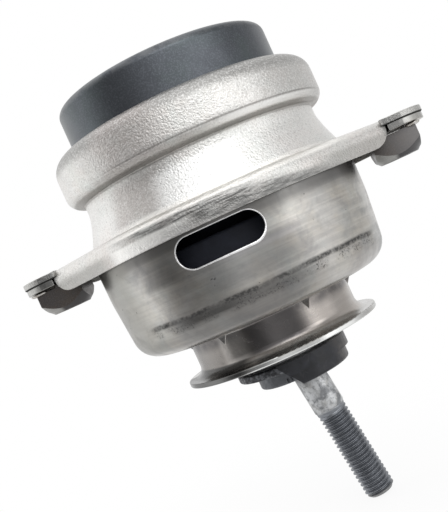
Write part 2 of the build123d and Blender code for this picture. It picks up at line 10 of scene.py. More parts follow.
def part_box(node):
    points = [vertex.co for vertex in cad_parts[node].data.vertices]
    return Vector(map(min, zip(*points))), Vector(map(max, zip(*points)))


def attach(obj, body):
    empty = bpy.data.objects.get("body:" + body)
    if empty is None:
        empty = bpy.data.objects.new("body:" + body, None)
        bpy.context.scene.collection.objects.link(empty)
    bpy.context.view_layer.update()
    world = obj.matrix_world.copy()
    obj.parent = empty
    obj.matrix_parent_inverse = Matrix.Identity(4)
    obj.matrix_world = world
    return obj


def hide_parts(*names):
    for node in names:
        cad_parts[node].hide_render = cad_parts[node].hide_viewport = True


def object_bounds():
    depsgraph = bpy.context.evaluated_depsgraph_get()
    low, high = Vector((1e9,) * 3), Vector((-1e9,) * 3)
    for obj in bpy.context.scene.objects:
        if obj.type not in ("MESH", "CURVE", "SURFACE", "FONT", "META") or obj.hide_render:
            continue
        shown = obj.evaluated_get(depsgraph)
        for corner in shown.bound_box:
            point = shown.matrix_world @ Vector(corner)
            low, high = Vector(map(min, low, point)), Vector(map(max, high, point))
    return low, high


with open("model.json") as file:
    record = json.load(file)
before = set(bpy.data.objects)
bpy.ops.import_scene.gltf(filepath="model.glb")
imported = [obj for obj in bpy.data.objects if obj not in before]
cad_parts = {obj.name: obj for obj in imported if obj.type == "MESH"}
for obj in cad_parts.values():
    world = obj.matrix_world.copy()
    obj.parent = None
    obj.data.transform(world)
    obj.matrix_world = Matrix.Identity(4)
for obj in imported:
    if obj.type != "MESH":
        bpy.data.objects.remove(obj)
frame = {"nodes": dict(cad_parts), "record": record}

bl_info = {
    "name": "Engine Mount Dressing",
    "version": (1, 0, 0),
    "blender": (4, 5, 0),
    "location": "View3D > Sidebar > Engine Mount",
    "description": "Finishes a hydraulic engine mount: thread, weld beads, slot lip, steels and rubber",
    "category": "Object",
}

CAD_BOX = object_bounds()
NODES = frame["nodes"]
MOUNTS = {mount["name"]: mount for mount in frame["record"]["mounts"]}
STUD_AT = np.array(MOUNTS["stud"]["pos_m"])
STUD_AXIS = np.array(MOUNTS["stud"]["axis"]) / np.linalg.norm(MOUNTS["stud"]["axis"])
HOLE_X = MOUNTS["ear_bolts"]["dims"]["spacing_x_mm"] / 2000.0
EAR_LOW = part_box("lower_housing")[1][2] - 0.0026
SLOT_Z = -0.0163


# ------------------------------------------------------------------ settings

def length(name, description, default, **more):
    """A length in metres for a property group."""
    return FloatProperty(name=name, description=description, default=default, subtype="DISTANCE",
                         unit="LENGTH", precision=5, **more)


def colour(name, description, default):
    """A linear colour for a property group."""
    return FloatVectorProperty(name=name, description=description, default=default,
                               subtype="COLOR", size=3, min=0.0, max=1.0)


class MountShapes(bpy.types.PropertyGroup):
    """Sizes of the pieces that dress the mount."""
    thread_pitch: length("Thread pitch", "Distance between two crests of the stud's thread", 0.00175)
    thread_depth: length("Thread depth", "From the crest to the root of the thread", 0.00107)
    thread_length: length("Thread length", "Height from the first turn to the tip", 0.0378)
    thread_runout: length("Thread run-out", "Length over which the first turns fade in", 0.0040)
    thread_turn_steps: IntProperty(name="Thread steps", description="Rings in one pitch", default=22)
    shank_r: length("Shank radius", "Radius of the plain shank above the thread", 0.0063)
    tip_chamfer: length("Tip chamfer", "Size of the chamfer at the stud's tip", 0.0013)
    bead_r: length("Weld bead radius", "Radius of the beads at the nuts' corners", 0.0033)
    bead_rise: length("Weld bead rise", "Half the height of a bead", 0.0008)
    bead_spread: length("Weld bead spread", "From the hole's axis to a bead, along X and Y", 0.0077)
    # the slot lip is a thin tube of bright metal, a painted highlight along the slot's lit cut edge
    slot_lip_r: length("Slot lip", "Radius of the burnished lip round the slot", 0.00028)
    slot_lip_low_r: length("Lower slot lip", "Radius of the lip along the slot's lower edge", 0.00058)
    slot_length: length("Slot length", "End to end length of the slot", 0.0320)
    slot_height: length("Slot height", "Height of the slot", 0.0116)


class MountColours(bpy.types.PropertyGroup):
    """Colours of the finishes, before stains and wear."""
    blasted: colour("Blasted steel", "Bead-blasted upper housing", (0.70, 0.69, 0.67))
    drawn: colour("Drawn steel", "Lower housing", (0.51, 0.50, 0.48))
    smoke: colour("Brown tint", "Heat and oil tint on the lower housing", (0.30, 0.25, 0.21))
    grime: colour("Grime", "Dirt in pits and scuffs", (0.035, 0.035, 0.036))
    cap: colour("Cap black", "Satin coating of the end cap", (0.085, 0.092, 0.104))
    nut: colour("Nut steel", "Dark weld nuts", (0.085, 0.078, 0.076))
    boss: colour("Boss alloy", "End boss casting", (0.125, 0.13, 0.14))
    shank: colour("Shank steel", "Pale blotches of the shank", (0.52, 0.53, 0.54))
    thread: colour("Thread steel", "Phosphated thread", (0.20, 0.21, 0.228))
    rubber: colour("Rubber", "Moulded rubber", (0.009, 0.010, 0.014))
    inner: colour("Inner steel", "Phosphated inner sheet", (0.33, 0.33, 0.34))
    casting: colour("Casting", "Cast core and track body", (0.52, 0.52, 0.53))


class MountStage(bpy.types.PropertyGroup):
    """Camera and light of the studio."""
    camera_distance: length("Camera distance", "From the canister's axis to the camera", 0.3288)
    camera_yaw: FloatProperty(name="Camera yaw", description="Turn of the camera towards the right ear",
                              default=math.radians(6.2), subtype="ANGLE", unit="ROTATION")
    camera_roll: FloatProperty(name="Camera roll", description="Lean of the canister in the picture",
                               default=math.radians(24.4), subtype="ANGLE", unit="ROTATION")
    eye_height: length("Eye height", "Height of the camera against the ears", -0.0218)
    eye_offset: length("Eye offset", "Camera's sideways shift from the axis", -0.0067)
    focal_px: FloatProperty(name="Focal length", description="Focal length in pixels of the 512 high picture",
                            default=840.0)
    lamp_power: FloatProperty(name="Lamp power", description="Power of the softbox in watts", default=1.6)
    floor_radius: length("Floor radius", "Radius of the round floor", 0.26)


# ------------------------------------------------------------ mesh surfaces

def ring_surface(name, rings, pole_start=None, pole_end=None):
    """Closed skin over rings of points: ring i point j joins ring i+1 point j, and the last
    point of a ring joins its first. Rings run round the direction in which they advance, by
    the right-hand rule, so the skin faces outwards. A pole closes an end with a fan."""
    n, m = rings.shape[:2]
    points = rings.reshape(-1, 3)
    i, j = np.meshgrid(np.arange(n - 1), np.arange(m), indexing="ij")
    k = (j + 1) % m
    quads = np.stack([i * m + j, i * m + k, (i + 1) * m + k, (i + 1) * m + j], axis=-1).reshape(-1, 4)
    first = np.arange(m)
    follow = (first + 1) % m
    fans = []
    if pole_start is not None:
        fans.append(np.stack([np.full(m, len(points)), follow, first], axis=-1))
        points = np.vstack([points, pole_start])
    if pole_end is not None:
        base = (n - 1) * m
        fans.append(np.stack([np.full(m, len(points)), base + first, base + follow], axis=-1))
        points = np.vstack([points, pole_end])
    return mesh_object(name, points, quads, np.vstack(fans) if fans else None)


def mesh_object(name, points, quads, triangles=None):
    """A smooth mesh object at the origin from whole arrays of points and faces."""
    loops = [quads.reshape(-1)]
    totals = [np.full(len(quads), 4)]
    if triangles is not None:
        loops.append(triangles.reshape(-1))
        totals.append(np.full(len(triangles), 3))
    loops = np.concatenate(loops).astype(np.int32)
    totals = np.concatenate(totals).astype(np.int32)
    starts = np.concatenate([[0], np.cumsum(totals)[:-1]]).astype(np.int32)
    mesh = bpy.data.meshes.new(name)
    mesh.vertices.add(len(points))
    mesh.vertices.foreach_set("co", points.astype(np.float32).ravel())
    mesh.loops.add(len(loops))
    mesh.loops.foreach_set("vertex_index", loops)
    mesh.polygons.add(len(totals))
    mesh.polygons.foreach_set("loop_start", starts)
    mesh.polygons.foreach_set("use_smooth", np.ones(len(totals), bool))
    mesh.update(calc_edges=True)
    mesh.validate()
    obj = bpy.data.objects.new(name, mesh)
    bpy.context.scene.collection.objects.link(obj)
    return obj


def tube_along(name, path, tangent, up, radius, sides=10):
    """Closed tube: a circle of the radius, one number or one for every point, carried round a
    closed path. The circle lies across the tangent, with up as its first direction."""
    side = np.cross(tangent, up)
    side /= np.linalg.norm(side, axis=1)[:, None]
    lift = np.cross(side, tangent)
    turn = np.linspace(0, 2 * np.pi, sides, endpoint=False)
    ring = np.cos(turn)[None, :, None] * side[:, None, :] + np.sin(turn)[None, :, None] * lift[:, None, :]
    rings = path[:, None, :] + radius * ring
    return ring_surface(name, np.concatenate([rings, rings[:1]]))


def merge_doubles(obj):
    """Joins points that share a place and turns every face outwards."""
    import bmesh
    bm = bmesh.new()
    bm.from_mesh(obj.data)
    bmesh.ops.remove_doubles(bm, verts=bm.verts, dist=1e-6)
    bmesh.ops.recalc_face_normals(bm, faces=bm.faces)
    bm.to_mesh(obj.data)
    bm.free()


def smoothstep(x):
    """0 below 0, 1 above 1, and 3x^2 - 2x^3 between."""
    x = np.clip(x, 0, 1)
    return x * x * (3 - 2 * x)


# ------------------------------------------------------------ node building

class Shade:
    """Short calls for placing and linking shader nodes in one tree."""

    def __init__(self, tree):
        self.tree = tree
        self.count = 0

    def add(self, kind, values=None, **settings):
        node = self.tree.nodes.new(kind)
        node.location = (180 * (self.count % 12), -260 * (self.count // 12))
        self.count += 1
        for key, value in settings.items():
            setattr(node, key, value)
        for key, value in (values or {}).items():
            self.put(node.inputs[key], value)
        return node

    def put(self, socket, value):
        if isinstance(value, bpy.types.NodeSocket):
            self.tree.links.new(value, socket)
        elif isinstance(socket.default_value, float) or not hasattr(value, "__len__"):
            socket.default_value = value
        elif len(socket.default_value) == 4 and len(value) == 3:
            socket.default_value = (*value, 1.0)
        else:
            socket.default_value = value

    def math(self, operation, a, b=0.0, clamp=False):
        return self.add("ShaderNodeMath", {0: a, 1: b}, operation=operation, use_clamp=clamp).outputs[0]

    def ramp(self, value, low, high, to_low=0.0, to_high=1.0):
        """Smooth step of a value from low to high."""
        return self.add("ShaderNodeMapRange", {"Value": value, "From Min": low, "From Max": high,
                                               "To Min": to_low, "To Max": to_high},
                        interpolation_type="SMOOTHSTEP").outputs["Result"]

    def blend(self, factor, a, b, kind="MIX"):
        """Mixes two colours by a factor."""
        node = self.add("ShaderNodeMix", data_type="RGBA", blend_type=kind)
        self.put(node.inputs[0], factor)
        self.put(node.inputs[6], a)
        self.put(node.inputs[7], b)
        return node.outputs[2]

    def scaled(self, vector, per_mm):
        """The vector in cells of 1 / per_mm millimetres."""
        return self.add("ShaderNodeVectorMath", {0: vector, 1: (per_mm * 1000,) * 3},
                        operation="MULTIPLY").outputs[0]

    def noise(self, vector, detail=2.0, roughness=0.5, distortion=0.0):
        return self.add("ShaderNodeTexNoise", {"Vector": vector, "Scale": 1.0, "Detail": detail,
                                               "Roughness": roughness, "Distortion": distortion}).outputs[0]


def start_group(name, inputs, outputs):
    """An empty shader group with named sockets, and calls to fill it."""
    tree = bpy.data.node_groups.new(name, "ShaderNodeTree")
    for label, kind, default in inputs:
        socket = tree.interface.new_socket(label, in_out="INPUT", socket_type=kind)
        if default is not None:
            socket.default_value = default
    for label in outputs:
        tree.interface.new_socket(label, in_out="OUTPUT", socket_type="NodeSocketFloat")
    shade = Shade(tree)
    return shade, shade.add("NodeGroupInput").outputs, shade.add("NodeGroupOutput").inputs


def per_cell(shade, vector, size_mm):
    """The vector divided by a cell size in millimetres that is a group input."""
    scale = shade.math("DIVIDE", 1000.0, size_mm)
    return shade.add("ShaderNodeVectorMath", {0: vector, "Scale": scale}, operation="SCALE").outputs[0]


def group_round():
    """Angle in turns, radius and height in millimetres of a point, about the canister's axis."""
    s, i, o = start_group("Round Coordinates", [("Vector", "NodeSocketVector", None)],
                          ["Angle", "Radius", "Height"])
    part = s.add("ShaderNodeSeparateXYZ", {0: i["Vector"]}).outputs
    s.put(o["Angle"], s.math("DIVIDE", s.math("ARCTAN2", part[1], part[0]), 2 * math.pi))
    square = s.math("ADD", s.math("MULTIPLY", part[0], part[0]), s.math("MULTIPLY", part[1], part[1]))
    s.put(o["Radius"], s.math("MULTIPLY", s.math("SQRT", square), 1000.0))
    s.put(o["Height"], s.math("MULTIPLY", part[2], 1000.0))
    return s.tree


def group_grain():
    """Blasted or cast grain: fine noise and soft dimples, with a mask of the raised spots."""
    s, i, o = start_group("Blast Grain", [("Vector", "NodeSocketVector", None),
                                          ("Cell mm", "NodeSocketFloat", 1.0),
                                          ("Dimples", "NodeSocketFloat", 0.4)], ["Height", "Spots"])
    at = per_cell(s, i["Vector"], i["Cell mm"])
    fine = s.noise(at, detail=2.5, roughness=0.62)
    cell = s.add("ShaderNodeTexVoronoi", {"Vector": at, "Scale": 0.8, "Randomness": 1.0},
                 feature="SMOOTH_F1").outputs["Distance"]
    both = s.add("ShaderNodeMix", {0: i["Dimples"], 2: fine, 3: cell}, data_type="FLOAT").outputs[0]
    s.put(o["Height"], both)
    s.put(o["Spots"], s.ramp(fine, 0.46, 0.64))
    return s.tree


def group_smudge():
    """Soft-edged stains: warped noise over a threshold. Cover 0 is none and 1 is all."""
    s, i, o = start_group("Smudges", [("Vector", "NodeSocketVector", None),
                                      ("Cell mm", "NodeSocketFloat", 12.0),
                                      ("Cover", "NodeSocketFloat", 0.5),
                                      ("Softness", "NodeSocketFloat", 0.14)], ["Mask"])
    field = s.noise(per_cell(s, i["Vector"], i["Cell mm"]), detail=4.0, roughness=0.6, distortion=0.6)
    edge = s.math("SUBTRACT", 1.0, i["Cover"])
    edge = s.math("ADD", s.math("MULTIPLY", edge, 0.6), 0.2)
    s.put(o["Mask"], s.ramp(field, s.math("SUBTRACT", edge, i["Softness"]),
                            s.math("ADD", edge, i["Softness"])))
    return s.tree


def group_pits():
    """Small round pits: cells whose own random number is low enough get a dot."""
    s, i, o = start_group("Pits", [("Vector", "NodeSocketVector", None),
                                   ("Cell mm", "NodeSocketFloat", 3.0),
                                   ("Share", "NodeSocketFloat", 0.3),
                                   ("Reach", "NodeSocketFloat", 0.22)], ["Mask"])
    at = per_cell(s, i["Vector"], i["Cell mm"])
    warp = s.add("ShaderNodeVectorMath", {0: at, 1: s.add("ShaderNodeTexNoise", {
        "Vector": at, "Scale": 2.6, "Detail": 1.0}).outputs[1]}, operation="ADD").outputs[0]
    cell = s.add("ShaderNodeTexVoronoi", {"Vector": warp, "Scale": 1.0, "Randomness": 1.0})
    pick = s.add("ShaderNodeSeparateColor", {0: cell.outputs["Color"]}).outputs[0]
    chosen = s.math("LESS_THAN", pick, i["Share"])
    size = s.math("MULTIPLY", i["Reach"], s.math("ADD", 0.4, s.math("MULTIPLY", pick, 2.0)))
    dot = s.ramp(cell.outputs["Distance"], size, s.math("MULTIPLY", size, 0.4))
    s.put(o["Mask"], s.math("MULTIPLY", dot, chosen))
    return s.tree


def group_band():
    """1 where a value is within half a width of a centre, fading over the feather."""
    s, i, o = start_group("Band", [("Value", "NodeSocketFloat", 0.0), ("Centre", "NodeSocketFloat", 0.0),
                                   ("Half width", "NodeSocketFloat", 1.0),
                                   ("Feather", "NodeSocketFloat", 0.5)], ["Mask"])
    away = s.math("ABSOLUTE", s.math("SUBTRACT", i["Value"], i["Centre"]))
    s.put(o["Mask"], s.ramp(away, s.math("ADD", i["Half width"], i["Feather"]), i["Half width"]))
    return s.tree


def group_draw_lines():
    """Fine lines round the canister that drawing leaves: noise stretched along the angle."""
    s, i, o = start_group("Draw Lines", [("Angle", "NodeSocketFloat", 0.0),
                                         ("Height", "NodeSocketFloat", 0.0),
                                         ("Lines per mm", "NodeSocketFloat", 3.0),
                                         ("Runs", "NodeSocketFloat", 14.0)], ["Mask"])
    # the angle goes round as a sine and cosine pair, so that the lines meet at the back
    turn = s.math("MULTIPLY", i["Angle"], 2 * math.pi)
    spot = s.add("ShaderNodeCombineXYZ", {
        0: s.math("MULTIPLY", s.math("COSINE", turn), s.math("DIVIDE", i["Runs"], 6.0)),
        1: s.math("MULTIPLY", s.math("SINE", turn), s.math("DIVIDE", i["Runs"], 6.0)),
        2: s.math("MULTIPLY", i["Height"], i["Lines per mm"])}).outputs[0]
    s.put(o["Mask"], s.noise(spot, detail=3.0, roughness=0.65))
    return s.tree


GROUP_MAKERS = {"Round Coordinates": group_round, "Blast Grain": group_grain, "Smudges": group_smudge,
                "Pits": group_pits, "Band": group_band, "Draw Lines": group_draw_lines}


class Finish(Shade):
    """A material in the making: one Principled shader fed by masks on Object coordinates."""

    def __init__(self, name, metallic, coat=0.0, specular=0.5):
        self.material = bpy.data.materials.new(name)
        self.material.use_nodes = True
        self.material.node_tree.nodes.clear()
        super().__init__(self.material.node_tree)
        self.out = self.add("ShaderNodeOutputMaterial")
        self.skin = self.add("ShaderNodeBsdfPrincipled", {"Metallic": metallic, "Coat Weight": coat,
                                                          "Specular IOR Level": specular})
        self.tree.links.new(self.skin.outputs[0], self.out.inputs[0])
        self.at = self.add("ShaderNodeTexCoord").outputs["Object"]
        turn = self.use("Round Coordinates", {"Vector": self.at})
        self.angle, self.radius, self.height = turn["Angle"], turn["Radius"], turn["Height"]

    def use(self, name, values):
        """Places a shared group and returns its outputs."""
        tree = bpy.data.node_groups.get(name) or GROUP_MAKERS[name]()
        node = self.add("ShaderNodeGroup", node_tree=tree)
        for key, value in values.items():
            self.put(node.inputs[key], value)
        return node.outputs

    def band(self, value, centre, half, feather):
        return self.use("Band", {"Value": value, "Centre": centre, "Half width": half,
                                 "Feather": feather})["Mask"]

    def smudge(self, cell, cover, softness=0.14):
        return self.use("Smudges", {"Vector": self.at, "Cell mm": cell, "Cover": cover,
                                    "Softness": softness})["Mask"]

    def pits(self, cell, share, reach=0.22):
        return self.use("Pits", {"Vector": self.at, "Cell mm": cell, "Share": share,
                                 "Reach": reach})["Mask"]

    def facing(self):
        """Components of the surface's own normal."""
        geometry = self.add("ShaderNodeNewGeometry").outputs["Normal"]
        return self.add("ShaderNodeSeparateXYZ", {0: geometry}).outputs

    def finish(self, base, roughness, height=None, depth_mm=0.1, strength=1.0):
        """Feeds the shader and returns the material."""
        self.put(self.skin.inputs["Base Color"], base)
        self.put(self.skin.inputs["Roughness"], roughness)
        if height is not None:
            bump = self.add("ShaderNodeBump", {"Height": height, "Distance": depth_mm / 1000.0,
                                               "Strength": strength})
            self.put(self.skin.inputs["Normal"], bump.outputs[0])
        return self.material


def wear(node, material):
    """Gives a CAD node its finish in every material place."""
    mesh = NODES[node].data
    if not mesh.materials:
        mesh.materials.append(material)
    for place in range(len(mesh.materials)):
        mesh.materials[place] = material


def darker(rgb, by):
    """A colour times a number."""
    return tuple(c * by for c in rgb)


# ------------------------------------------------------------ the operators

class MOUNT_OT_stage(bpy.types.Operator):
    """Camera at the photograph's angle, a pale floor, a soft sky and one overhead softbox"""
    bl_idname = "mount.stage"
    bl_label = "Stage"

    def execute(self, context):
        setting = context.scene.mount_stage
        self.camera(context, setting)
        self.floor(setting)
        self.sky(context.scene, setting)
        self.softbox(context, setting)
        context.scene.view_settings.view_transform = "Standard"
        return {"FINISHED"}

    def camera(self, context, setting):
        yaw, roll = setting.camera_yaw, setting.camera_roll
        back = Vector((math.sin(yaw), -math.cos(yaw), 0))
        right = Vector((math.cos(yaw), math.sin(yaw), 0))
        up = Vector((0, 0, 1))
        across = math.cos(roll) * right - math.sin(roll) * up
        upward = math.sin(roll) * right + math.cos(roll) * up
        data = bpy.data.cameras.new("camera")
        data.sensor_width = 36.0
        data.lens = 36.0 * setting.focal_px / 512.0
        data.clip_start = 0.01
        camera = bpy.data.objects.new("camera", data)
        place = back * setting.camera_distance + right * setting.eye_offset + up * setting.eye_height
        camera.matrix_world = Matrix((
            (across.x, upward.x, back.x, place.x), (across.y, upward.y, back.y, place.y),
            (across.z, upward.z, back.z, place.z), (0, 0, 0, 1)))
        context.scene.collection.objects.link(camera)
        context.scene.camera = camera

    def floor(self, setting):
        level = CAD_BOX[0][2] - 0.0004
        turn = np.linspace(0, 2 * np.pi, 96, endpoint=False)
        rings = np.stack([np.stack([r * np.cos(turn), r * np.sin(turn), np.full(96, level)], axis=-1)
                          for r in (setting.floor_radius, setting.floor_radius / 2)])
        floor = ring_surface("studio_floor", rings, None, (0, 0, level))
        floor.data.materials.append(self.pale_floor())

    def pale_floor(self):
        """A pale floor that shows white and keeps a soft shadow."""
        material = bpy.data.materials.new("Studio floor")
        material.use_nodes = True
        material.node_tree.nodes.clear()
        s = Shade(material.node_tree)
        pale = s.add("ShaderNodeBsdfDiffuse", {"Color": (0.86, 0.86, 0.86)}).outputs[0]
        white = s.add("ShaderNodeEmission", {"Color": (1, 1, 1), "Strength": 1.0}).outputs[0]
        ray = s.add("ShaderNodeLightPath").outputs
        seen = s.math("MAXIMUM", s.math("MAXIMUM", ray["Is Camera Ray"], ray["Is Glossy Ray"]),
                      ray["Is Transmission Ray"])
        # the rim of the floor is all white, and the shadow stays round the middle
        at = s.add("ShaderNodeTexCoord").outputs["Object"]
        out = s.add("ShaderNodeVectorMath", {0: at, 1: (0, 0, CAD_BOX[0][2])}, operation="DISTANCE").outputs["Value"]
        white_share = s.math("MULTIPLY", seen, s.ramp(out, 0.07, 0.23, 0.90, 1.0))
        both = s.add("ShaderNodeMixShader", {0: white_share, 1: pale, 2: white}).outputs[0]
        # seen from below, the floor is clear and leaves the stud in view
        clear = s.add("ShaderNodeBsdfTransparent").outputs[0]
        below = s.add("ShaderNodeNewGeometry").outputs["Backfacing"]
        s.add("ShaderNodeOutputMaterial", {0: s.add("ShaderNodeMixShader", {
            0: below, 1: both, 2: clear}).outputs[0]})
        return material

    def sky(self, scene, setting):
        """Studio sky: white behind the mount, and soft windows and shade in front of it."""
        world = bpy.data.worlds.new("Studio sky")
        scene.world = world
        world.use_nodes = True
        world.node_tree.nodes.clear()
        s = Shade(world.node_tree)
        ray = s.add("ShaderNodeTexCoord").outputs["Generated"]
        part = s.add("ShaderNodeSeparateXYZ", {0: ray}).outputs
        flat = s.add("ShaderNodeVectorMath", {0: s.add("ShaderNodeCombineXYZ", {
            0: part[0], 1: part[1]}).outputs[0]}, operation="NORMALIZE").outputs[0]

        def lobe(vector, side_deg, lift_deg, inner_deg, outer_deg):
            """1 within the inner angle of a direction, 0 beyond the outer one."""
            side = setting.camera_yaw + math.radians(side_deg)
            lift = math.radians(lift_deg)
            aim = (math.cos(lift) * math.sin(side), -math.cos(lift) * math.cos(side), math.sin(lift))
            near = s.add("ShaderNodeVectorMath", {0: vector, 1: aim},
                         operation="DOT_PRODUCT").outputs["Value"]
            return s.ramp(near, math.cos(math.radians(outer_deg)), math.cos(math.radians(inner_deg)))

        light = SKY_LEVEL
        for side, lift, inner, outer, gain in SKY_LIGHTS:
            light = s.math("ADD", light, s.math("MULTIPLY", lobe(ray, side, lift, inner, outer), gain))
        for side, lift, inner, outer, loss in SKY_SHADES:
            keep = s.math("SUBTRACT", 1.0, s.math("MULTIPLY", lobe(ray, side, lift, inner, outer), loss))
            light = s.math("MULTIPLY", light, keep)
        # low dark stretches in front, up to a few degrees over the horizon
        for side, inner, outer, top, bottom, loss in SKY_LOW_SHADES:
            low = s.math("MULTIPLY", lobe(flat, side, 0, inner, outer), s.ramp(part[2], top, bottom))
            light = s.math("MULTIPLY", light, s.math("SUBTRACT", 1.0, s.math("MULTIPLY", low, loss)))
        # plain white all round the direction in which the camera looks
        behind = lobe(ray, 180, 0, 34, 62)
        light = s.add("ShaderNodeMix", {0: behind, 2: light, 3: 1.0}, data_type="FLOAT").outputs[0]
        glow = s.add("ShaderNodeBackground", {"Color": (1, 1, 1), "Strength": light}).outputs[0]
        s.add("ShaderNodeOutputWorld", {0: glow})

    def softbox(self, context, setting):
        data = bpy.data.lights.new("softbox", "AREA")
        data.shape = "RECTANGLE"
        data.size, data.size_y = 0.7, 0.4
        data.energy = setting.lamp_power
        lamp = bpy.data.objects.new("softbox", data)
        place = Vector((0.42, -0.92, 0.50))
        aim = place.to_track_quat("Z", "Y")
        lamp.matrix_world = Matrix.Translation(place) @ aim.to_matrix().to_4x4()
        context.scene.collection.objects.link(lamp)


# side and lift of a direction from the camera's, inner and outer angle in degrees, and gain or loss
SKY_LEVEL = 0.60
SKY_LIGHTS = ((8, 14, 14, 36, 0.34), (14, 46, 22, 40, 0.85), (50, 7, 5, 20, 1.55), (68, -10, 6, 30, 0.55),
              (-118, 4, 22, 58, 0.80), (112, 2, 12, 52, 0.16), (180, 74, 14, 48, 0.85))
SKY_SHADES = ((-56, 8, 8, 34, 0.44), (14, 12, 2, 15, 0.26))
# side, inner and outer angle, height at which the shade starts and is full, and loss
SKY_LOW_SHADES = ((-47, 18, 40, 0.12, -0.10, 0.64), (22, 6, 26, 0.06, -0.10, 0.32))


class MOUNT_OT_stud(bpy.types.Operator):
    """Stud with its plain shank, rolled thread and chamfered tip"""
    bl_idname = "mount.stud"
    bl_label = "Stud"

    def execute(self, context):
        shape = context.scene.mount_shapes
        low, high = (np.array(corner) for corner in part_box("stud"))
        drop = -STUD_AXIS[2]
        crest = MOUNTS["stud"]["dims"]["r_mm"] / 1000.0
        # distances along the axis from the mount's point, from the heights of the CAD stud
        side = math.sqrt(1 - drop * drop)
        tip = (STUD_AT[2] - (low[2] + (crest - shape.tip_chamfer) * side)) / drop
        start = (STUD_AT[2] - (high[2] - shape.shank_r * side)) / drop
        thread = tip - shape.thread_length / drop
        along = np.concatenate([
            np.linspace(start, thread - 0.0006, 24, endpoint=False),
            np.arange(thread - 0.0006, tip, shape.thread_pitch / shape.thread_turn_steps), [tip]])
        turn = np.linspace(0, 2 * np.pi, 72, endpoint=False)
        s, a = np.meshgrid(along, turn, indexing="ij")
        # the crest lies where the distance is a whole number of pitches plus the part of a turn
        phase = np.mod((s - thread) / shape.thread_pitch - a / (2 * np.pi), 1.0)
        valley = np.clip((1 - np.abs(2 * phase - 1) - 0.07) / 0.83, 0, 1)
        fade = smoothstep((s - thread) / shape.thread_runout)
        worn = 1 + 0.010 * np.sin(3 * a + 900 * s) * np.sin(2100 * s + a)
        r = crest * worn - shape.thread_depth * valley * fade
        r = np.where(s < thread, shape.shank_r - smoothstep((s - thread + 0.0006) / 0.0006)
                     * (shape.shank_r - crest), r)
        r = np.minimum(r, crest - shape.tip_chamfer + (tip - s))
        across = np.array([drop, 0, side]) if STUD_AXIS[0] > 0 else np.array([drop, 0, -side])
        beside = np.cross(STUD_AXIS, across)
        ring = np.cos(a)[..., None] * across + np.sin(a)[..., None] * beside
        rings = STUD_AT + s[..., None] * STUD_AXIS + r[..., None] * ring
        stud = ring_surface("stud_threaded", rings, STUD_AT + start * STUD_AXIS, STUD_AT + tip * STUD_AXIS)
        self.mark_distance(stud, along - thread, len(turn))
        stud.data.materials.append(stud_steel(context.scene.mount_colours))
        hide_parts("stud")
        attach(stud, "moving_core")
        return {"FINISHED"}

    def mark_distance(self, stud, past, sides):
        """Stores the distance past the thread's start, in millimetres, at every point."""
        far = np.concatenate([np.repeat(past, sides), [past[0], past[-1]]])
        layer = stud.data.attributes.new("along_mm", "FLOAT", "POINT")
        layer.data.foreach_set("value", (far * 1000.0).astype(np.float32))


class MOUNT_OT_weld_beads(bpy.types.Operator):
    """Flattened beads of weld metal at the corners of both nuts"""
    bl_idname = "mount.weld_beads"
    bl_label = "Weld beads"

    def execute(self, context):
        shape = context.scene.mount_shapes
        material = weld_metal(context.scene.mount_colours)
        for name, centre in (("weld_beads_left", -HOLE_X), ("weld_beads_right", HOLE_X)):
            parts = []
            for number, (x, y) in enumerate(((1, 1), (-1, 1), (-1, -1), (1, -1))):
                middle = (centre + x * shape.bead_spread, y * shape.bead_spread,
                          EAR_LOW - shape.bead_rise)
                parts.append(self.bead(name, middle, shape.bead_r, shape.bead_rise, number))
            bead = join(name, parts)
            bead.data.materials.append(material)
            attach(bead, "housing")
        return {"FINISHED"}

    def bead(self, name, middle, radius, rise, seed):
        """Flat blob: a ball squashed to a quarter in height, its radius waved round the turn by
        three sines with their own phases."""
        turn = np.linspace(0, 2 * np.pi, 28, endpoint=False)
        lift = np.linspace(-np.pi / 2, np.pi / 2, 13)[1:-1]
        v, u = np.meshgrid(lift, turn, indexing="ij")
        wave = 1 + 0.10 * np.sin(2 * u + seed) + 0.06 * np.sin(5 * u + 2.1 * seed + v)
        wave = wave + 0.04 * np.sin(9 * u + 4 * v + seed)
        r = radius * np.cos(v) ** 0.8 * wave
        rings = np.stack([middle[0] + r * np.cos(u), middle[1] + r * np.sin(u),
                          middle[2] + rise * np.sin(v)], axis=-1)
        low = (middle[0], middle[1], middle[2] - rise)
        high = (middle[0], middle[1], middle[2] + rise)
        return ring_surface(name + "_part", rings, low, high)


class MOUNT_OT_slot_lip(bpy.types.Operator):
    """Thin bright lip round the slot in the bowl, a painted highlight of its lit cut edge"""
    bl_idname = "mount.slot_lip"
    bl_label = "Slot lip"

    def execute(self, context):
        shape = context.scene.mount_shapes
        end = shape.slot_height / 2
        half = shape.slot_length / 2 - end
        turn = np.linspace(-np.pi / 2, np.pi / 2, 24)
        run = np.linspace(-half, half, 26)[1:-1]
        # outline of a slot: two half circles and two straight runs
        x = np.concatenate([half + end * np.cos(turn), run[::-1], -half - end * np.cos(turn), run])
        z = np.concatenate([end * np.sin(turn), np.full(len(run), end), -end * np.sin(turn),
                            np.full(len(run), -end)]) + SLOT_Z
        wall = 0.0541 + (z + 0.0047) * (0.00035 / 0.0163)
        y = -np.sqrt(wall ** 2 - x ** 2)
        path = np.stack([x, y, z], axis=-1)
        tangent = np.roll(path, -1, axis=0) - np.roll(path, 1, axis=0)
        tangent /= np.linalg.norm(tangent, axis=1)[:, None]
        out = np.stack([x, y, np.zeros_like(x)], axis=-1)
        out /= np.linalg.norm(out, axis=1)[:, None]
        low = smoothstep((SLOT_Z - z) / end) * smoothstep((x + half) / (2 * half))
        radius = shape.slot_lip_r + (shape.slot_lip_low_r - shape.slot_lip_r) * low
        lip = tube_along("slot_lip", path, tangent, out, radius[:, None, None])
        merge_doubles(lip)
        lip.data.materials.append(lit_slot_edge(context.scene.mount_colours))
        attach(lip, "housing")
        return {"FINISHED"}


